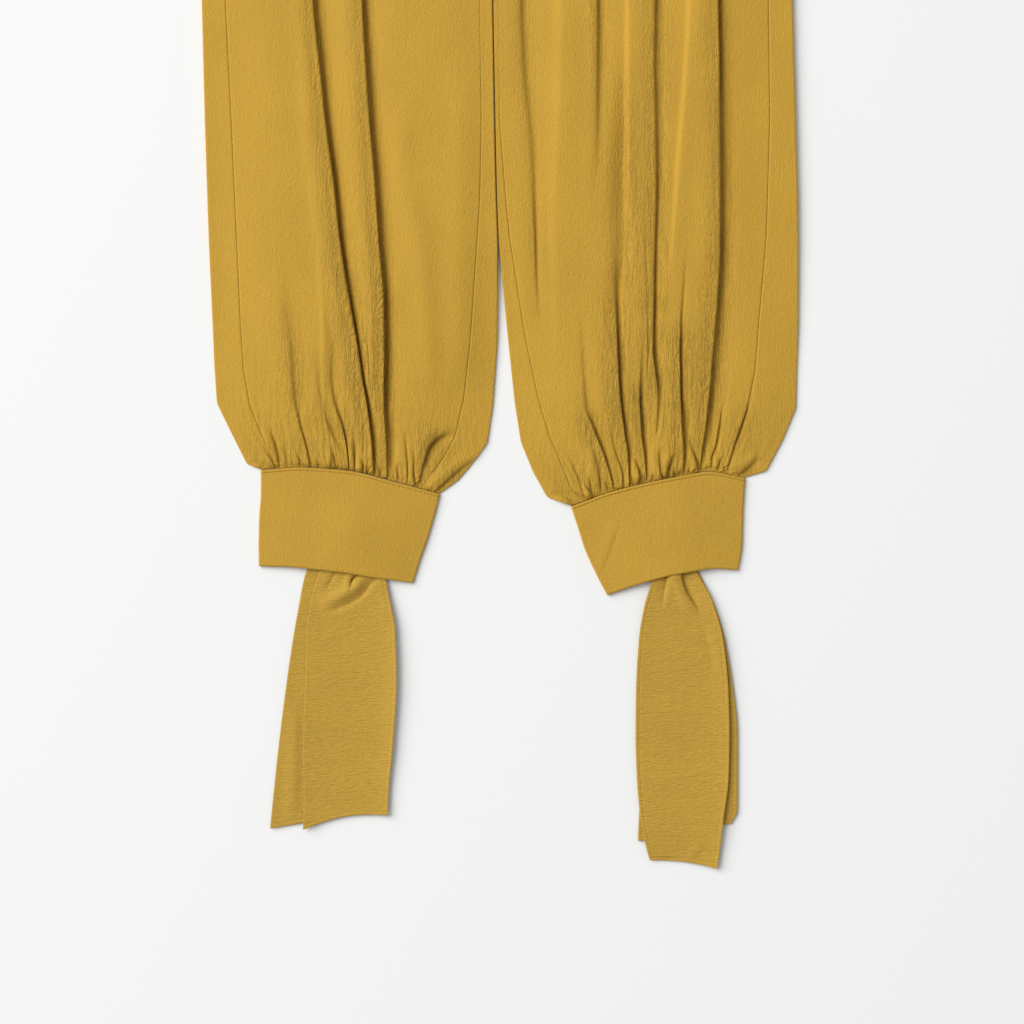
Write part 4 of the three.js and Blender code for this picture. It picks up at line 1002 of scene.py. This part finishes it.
# Sections of each tail from the knot to its end: the edges, the height of its outside over the table
# at both edges, and how much each edge curls up. Then its folds, how far its end bows towards the
# knot at quarters, and which of side 0, side 1 and the end are stitched
TIE_SECTION = "x0 y0 x1 y1 z0 z1 curl0 curl1"
TIES = {
    "tie_right_lower": {
        "sections": [
            (-146.9, -354.2, -124.7, -354.2, 0.9, 0.9, 0, 0),
            (-172.8, -373.8, -120.7, -373.8, 0.9, 0.9, 0, 0),
            (-180, -407.1, -122.7, -407.1, 0.9, 0.9, 0.5, 0),
            (-187.2, -449.4, -125.7, -449.4, 0.9, 0.9, 0.8, 0),
            (-194.4, -502.5, -128.7, -502.5, 0.9, 0.9, 0.6, 0),
            (-200.3, -552.9, -131.7, -550.9, 0.9, 0.9, 0.5, 0),
            (-205.7, -606, -134.7, -594, 0.9, 0.9, 1.4, 0)],
        "folds": [
            (7, [
                (-181, -600, 0, 0, 4, 2), (-180.5, -584, 0.9, 0, 4, 2), (-179.5, -540, 1, 0, 4, 2),
                (-179.5, -515, 0.8, 0, 4, 2), (-178.5, -490, 0, 0, 4, 2)]),
        ],
        "end_bow": (0, 0, 0, 0, 0), "stitched": (False, True, True),
    },
    "tie_right_upper": {
        "sections": [
            (-144.9, -354.2, -119.7, -354.2, 2.3, 2.3, 0, 0),
            (-161.1, -374.7, -101.7, -383.7, 2.8, 3.4, 0, 0),
            (-169.2, -401.7, -98.1, -400.8, 3.4, 3.4, 0.4, 1),
            (-172.8, -429.6, -93.2, -427.8, 2.6, 2.4, 0.8, 3),
            (-174.2, -475.5, -91.9, -472.8, 2.6, 1.6, 0.8, 4.2),
            (-176, -530.4, -95.2, -530.4, 2.5, 1.4, 1, 3.6),
            (-175.5, -580.8, -99, -571.8, 2.5, 1.4, 1, 2.4),
            (-176, -606.9, -99.9, -593.9, 2.5, 1.4, 1.8, 2.2)],
        "folds": [
            (3, [
                (-104, -372, 0, 0.8, 4, 0.7), (-109.8, -381.9, 0.1, 1.6, 6, 0.6),
                (-116.1, -390, 0.2, 2.4, 7, 0.5), (-123.3, -398.4, 0.2, 2.4, 7, 0.5),
                (-134.1, -405, 0.2, 2.2, 7, 0.5), (-144.9, -409.6, 0.1, 1.5, 6, 0.6),
                (-153.9, -412.5, 0, 0.4, 4, 1), (-160, -414, 0, 0, 4, 1)]),
            (6, [
                (-160, -411, 0, 0, 4, 4), (-149, -406, 2, 0, 4, 5), (-138, -400.6, 3.8, 0, 4, 5),
                (-127, -394, 4, 0, 4, 5), (-120, -386, 2.8, 0, 4, 5), (-114, -378, 1.2, 0, 4, 4),
                (-110, -371, 0.6, 0, 4, 4)]),
            (5, [
                (-157, -395, 0, 0, 3, 1.2), (-154, -386, 0.3, 0.8, 4, 0.9),
                (-149, -377, 0.4, 1, 4, 0.9)]),
            (3, [
                (-134, -392, 0, 0, 3, 0.6), (-134.6, -387, 0.8, 2, 5, 0.4),
                (-133.4, -381.5, 1.2, 3, 7, 0.4), (-128.5, -376, 1, 3, 8, 0.4),
                (-124, -371, 0.6, 2.6, 8, 0.4)]),
        ],
        "end_bow": (0, 3.9, 5.3, 3.5, 0), "stitched": (False, True, True),
    },
    "tie_left_lower": {
        "sections": [
            (146.9, -354.2, 165.4, -354.2, 0.9, 0.9, 0, 0),
            (140.7, -376, 179.8, -376, 0.9, 0.9, 0, 0),
            (130.7, -425.1, 200.3, -425.1, 0.9, 0.9, 0, 0.6),
            (126, -463.8, 207.9, -463.8, 0.9, 0.9, 0, 0.8),
            (126, -522.3, 214.2, -522.3, 0.9, 0.9, 0, 0.8),
            (126.6, -580.8, 214.2, -580.8, 0.9, 0.9, 0, 0.8),
            (125.3, -611, 214, -591, 0.9, 0.9, 0.3, 0.6),
            (125.1, -617.4, 208.5, -601.6, 0.9, 0.9, 0.3, 0.6)],
        "folds": [],
        "end_bow": (0, 0, 0, 0, 0), "stitched": (True, True, True),
    },
    "tie_left_upper": {
        "sections": [
            (144.9, -354.2, 167.4, -354.2, 2.3, 2.3, 0, 0),
            (137.7, -382.8, 177.8, -375.6, 3.6, 3, 0, 0),
            (131, -405.3, 191.3, -400.8, 3.6, 3.2, 0.5, 0.8),
            (126, -435, 202.1, -440.4, 2.8, 2.6, 0.5, 1.8),
            (123.3, -483.6, 206.1, -483.6, 2.5, 2.5, 0.3, 2.4),
            (122.9, -522.3, 207, -522.3, 2.5, 2.5, 0.3, 2.6),
            (124.2, -561.9, 206.1, -561.9, 2.5, 2.5, 0.3, 2.6),
            (127.8, -600.6, 201.8, -597, 2.4, 2.5, 0.3, 2.6),
            (132.2, -622, 199.2, -620, 1.8, 1.8, 0.5, 2.4),
            (135.5, -634.4, 196.2, -642, 0.9, 1, 0.6, 2.8)],
        "folds": [
            (4, [
                (153, -371, 0.6, 2, 6, 0.6), (152, -378, 0.8, 2.2, 7, 0.6),
                (151, -388, 0.8, 1.9, 7, 0.6), (149, -400, 0.4, 1, 6, 0.9),
                (147.6, -410, 0, 0, 5, 1.4)]),
            (5, [
                (181, -413, 0, 0, 8, 1.5), (177.4, -407.8, 0.6, 1, 10, 0.7),
                (171.8, -400.2, 1.4, 2, 13, 0.5), (166, -391, 1.9, 2.7, 14, 0.4),
                (163, -380, 2, 2.9, 14, 0.4), (162.4, -372, 2, 2.9, 14, 0.4)]),
            (4, [
                (186, -424, 0, 0, 7, 2), (189, -436, 0.2, 0.8, 8, 1.6), (193, -452, 0.2, 0.8, 8, 1.6),
                (196, -470, 0, 0, 7, 2)]),
            (5, [
                (172, -634, 0, 0, 2, 0.6), (175.1, -632.4, 0.4, 0.2, 2, 0.6),
                (183.3, -624.6, 0.7, 0.4, 2, 0.6), (185, -622, 0, 0, 2, 0.6)]),
        ],
        "end_bow": (0, 1.6, 2.2, 1.6, 0), "stitched": (True, True, True),
    },
}


def tie(name, sections, folds, end_bow, stitched):
    """One tail of a tie between edges that run smoothly through its sections. Its rows and columns
    crowd at the hems, its edges curl up, and a hem is a slightly raised band with a groove at its
    stitches"""
    sections = table_of(TIE_SECTION, sections)
    length = np.concatenate([[0], np.cumsum(-np.diff((sections["y0"] + sections["y1"]) / 2))])
    plain = np.linspace(0, length[-1] - HEM_STEPS[-1], TIE_ROWS + 1)[:-1]
    down = np.concatenate([plain, length[-1] - HEM_STEPS[::-1]])[:, None]
    at = {key: smooth_line(length, values, down) for key, values in sections.items()}
    width = at["x1"] - at["x0"]
    near0 = HEM_STEPS * np.minimum(width / 60, 1)
    middle = near0[:, -1:] + (width - 2 * near0[:, -1:]) * np.linspace(0, 1, TIE_COLUMNS + 2)[1:-1]
    inset0 = np.concatenate([near0, middle, width - near0[:, ::-1]], axis=1)
    inset1 = width - inset0
    inset2 = np.broadcast_to(length[-1] - down, inset0.shape)
    part = inset0 / width
    x = at["x0"] + inset0
    y = at["y0"] + (at["y1"] - at["y0"]) * part
    y = y + bell(length[-1] - down, 30) * smooth_line(QUARTERS, end_bow, part)
    settle = part * part * (3 - 2 * part)
    z = at["z0"] + (at["z1"] - at["z0"]) * settle
    free = 1 - bell(np.maximum(down - 30, 0), 14)
    z = z + free * (at["curl0"] * np.exp(-inset0 / 9) + at["curl1"] * np.exp(-inset1 / 11))
    z = z + free * 0.12 * (1 + np.sin(x / 9 + y / 31) * np.sin(y / 19 - x / 37))
    points = np.stack([x, y, z], axis=-1)
    for crest, path in fold_tables(folds):
        fold(points, x, y, crest, path)
    for inset, sewn in zip((inset0, inset1, inset2), stitched):
        if sewn:
            band = 0.08 * np.exp(-((inset / (HEM + 0.3)) ** 8))
            points[..., 2] += band - 0.2 * bell(inset - HEM, 0.5)
        points[..., 2] -= 0.25 * bell(inset, 0.5)
    points[..., 2] = np.maximum(points[..., 2], TIE + 0.02)
    uv = np.stack([y, 0.45 * x], axis=-1)
    piece = add_cloth(name, points, uv, TIE_CREPE, TIE)
    hem = int(np.argmin(np.abs(HEM_STEPS - HEM)))
    routes = (points[8:-hem, hem], points[8:-hem, -1 - hem], points[-1 - hem, hem:-hem])
    for label, route, sewn in zip(("side0", "side1", "end"), routes, stitched):
        if sewn:
            add_stitches(f"{name}_stitches_{label}", route)
    return piece


tails = {name: tie(name, **sizes) for name, sizes in TIES.items()}


# ---- Waistband -----------------------------------------------------------------------------------
# A band of doubled crepe, drawn up into small upright gathers, pressed flat: its front lies on its
# back, and its ends are folds.

BAND = 1.2  # thickness of the doubled cloth
BAND_EDGE = 3.4  # height of the folded ends
BAND_TAPER = 3  # how far each end leans in from the lower to the upper edge
BAND_ROWS = 22
BAND_COLUMNS = 300
BAND_HEM = 5.0  # from the upper edge to its row of stitches


def waistband(name):
    """The band as a closed ring of a flat loop: front, fold, back, fold. The gathers are waves across
    the front whose spacing and height drift along the band"""
    low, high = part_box(name)
    foot, head = low.y * 1000, high.y * 1000
    up = np.linspace(0, 1, BAND_ROWS)[:, None]
    x0, x1 = low.x * 1000 + BAND_TAPER * up, high.x * 1000 - BAND_TAPER * up
    radius = BAND_EDGE / 2
    flat = np.linspace(0, 1, BAND_COLUMNS)[None, :]
    front = x0 + radius + (x1 - x0 - 2 * radius) * flat
    back = x1 - radius - (x1 - x0 - 2 * radius) * flat[:, ::5]
    bend0, bend1 = bends(x0, x1, radius)
    x, starts = side_by_side(front, bend1, back, bend0)
    y = foot + (head - foot) * up * np.ones_like(x)
    inset = np.maximum(np.minimum(x - x0, x1 - x), 0)
    phase = x / 2.3 + 1.7 * np.sin(x / 13) + 1.1 * np.sin(x / 31 + 1) + 0.3 * np.sin(y / 9 + x / 17)
    gathers = 0.55 * np.sin(phase) * (0.7 + 0.3 * np.sin(x / 19 + y / 40)) * (1 - bell(inset, 6))
    ridge = -0.4 * bell(y - foot, 1.5) - 0.5 * bell(head - y, 1)
    ridge -= 0.35 * bell(head - y - BAND_HEM, 0.7)
    z = 3.6 + 0.8 * (1 - bell(inset, 8)) + gathers + ridge
    z[:, starts[1]:starts[2]] = z[:, starts[1] - 1, None] * SINKING
    z[:, starts[2]:starts[3]] = 0
    z[:, starts[3]:] = z[:, :1] * CLIMBING
    points = np.stack([x, y, z], axis=-1)
    closed = np.concatenate([points, points[:, :1]], axis=1)
    uv = closed[..., :2]
    piece = add_cloth(name, closed, uv, BAND_CREPE, BAND)
    row = int(np.argmin(np.abs(y[:, 0] - (head - BAND_HEM))))
    add_stitches(name + "_stitches", points[row, :starts[1]])
    return piece


band = waistband("waistband")
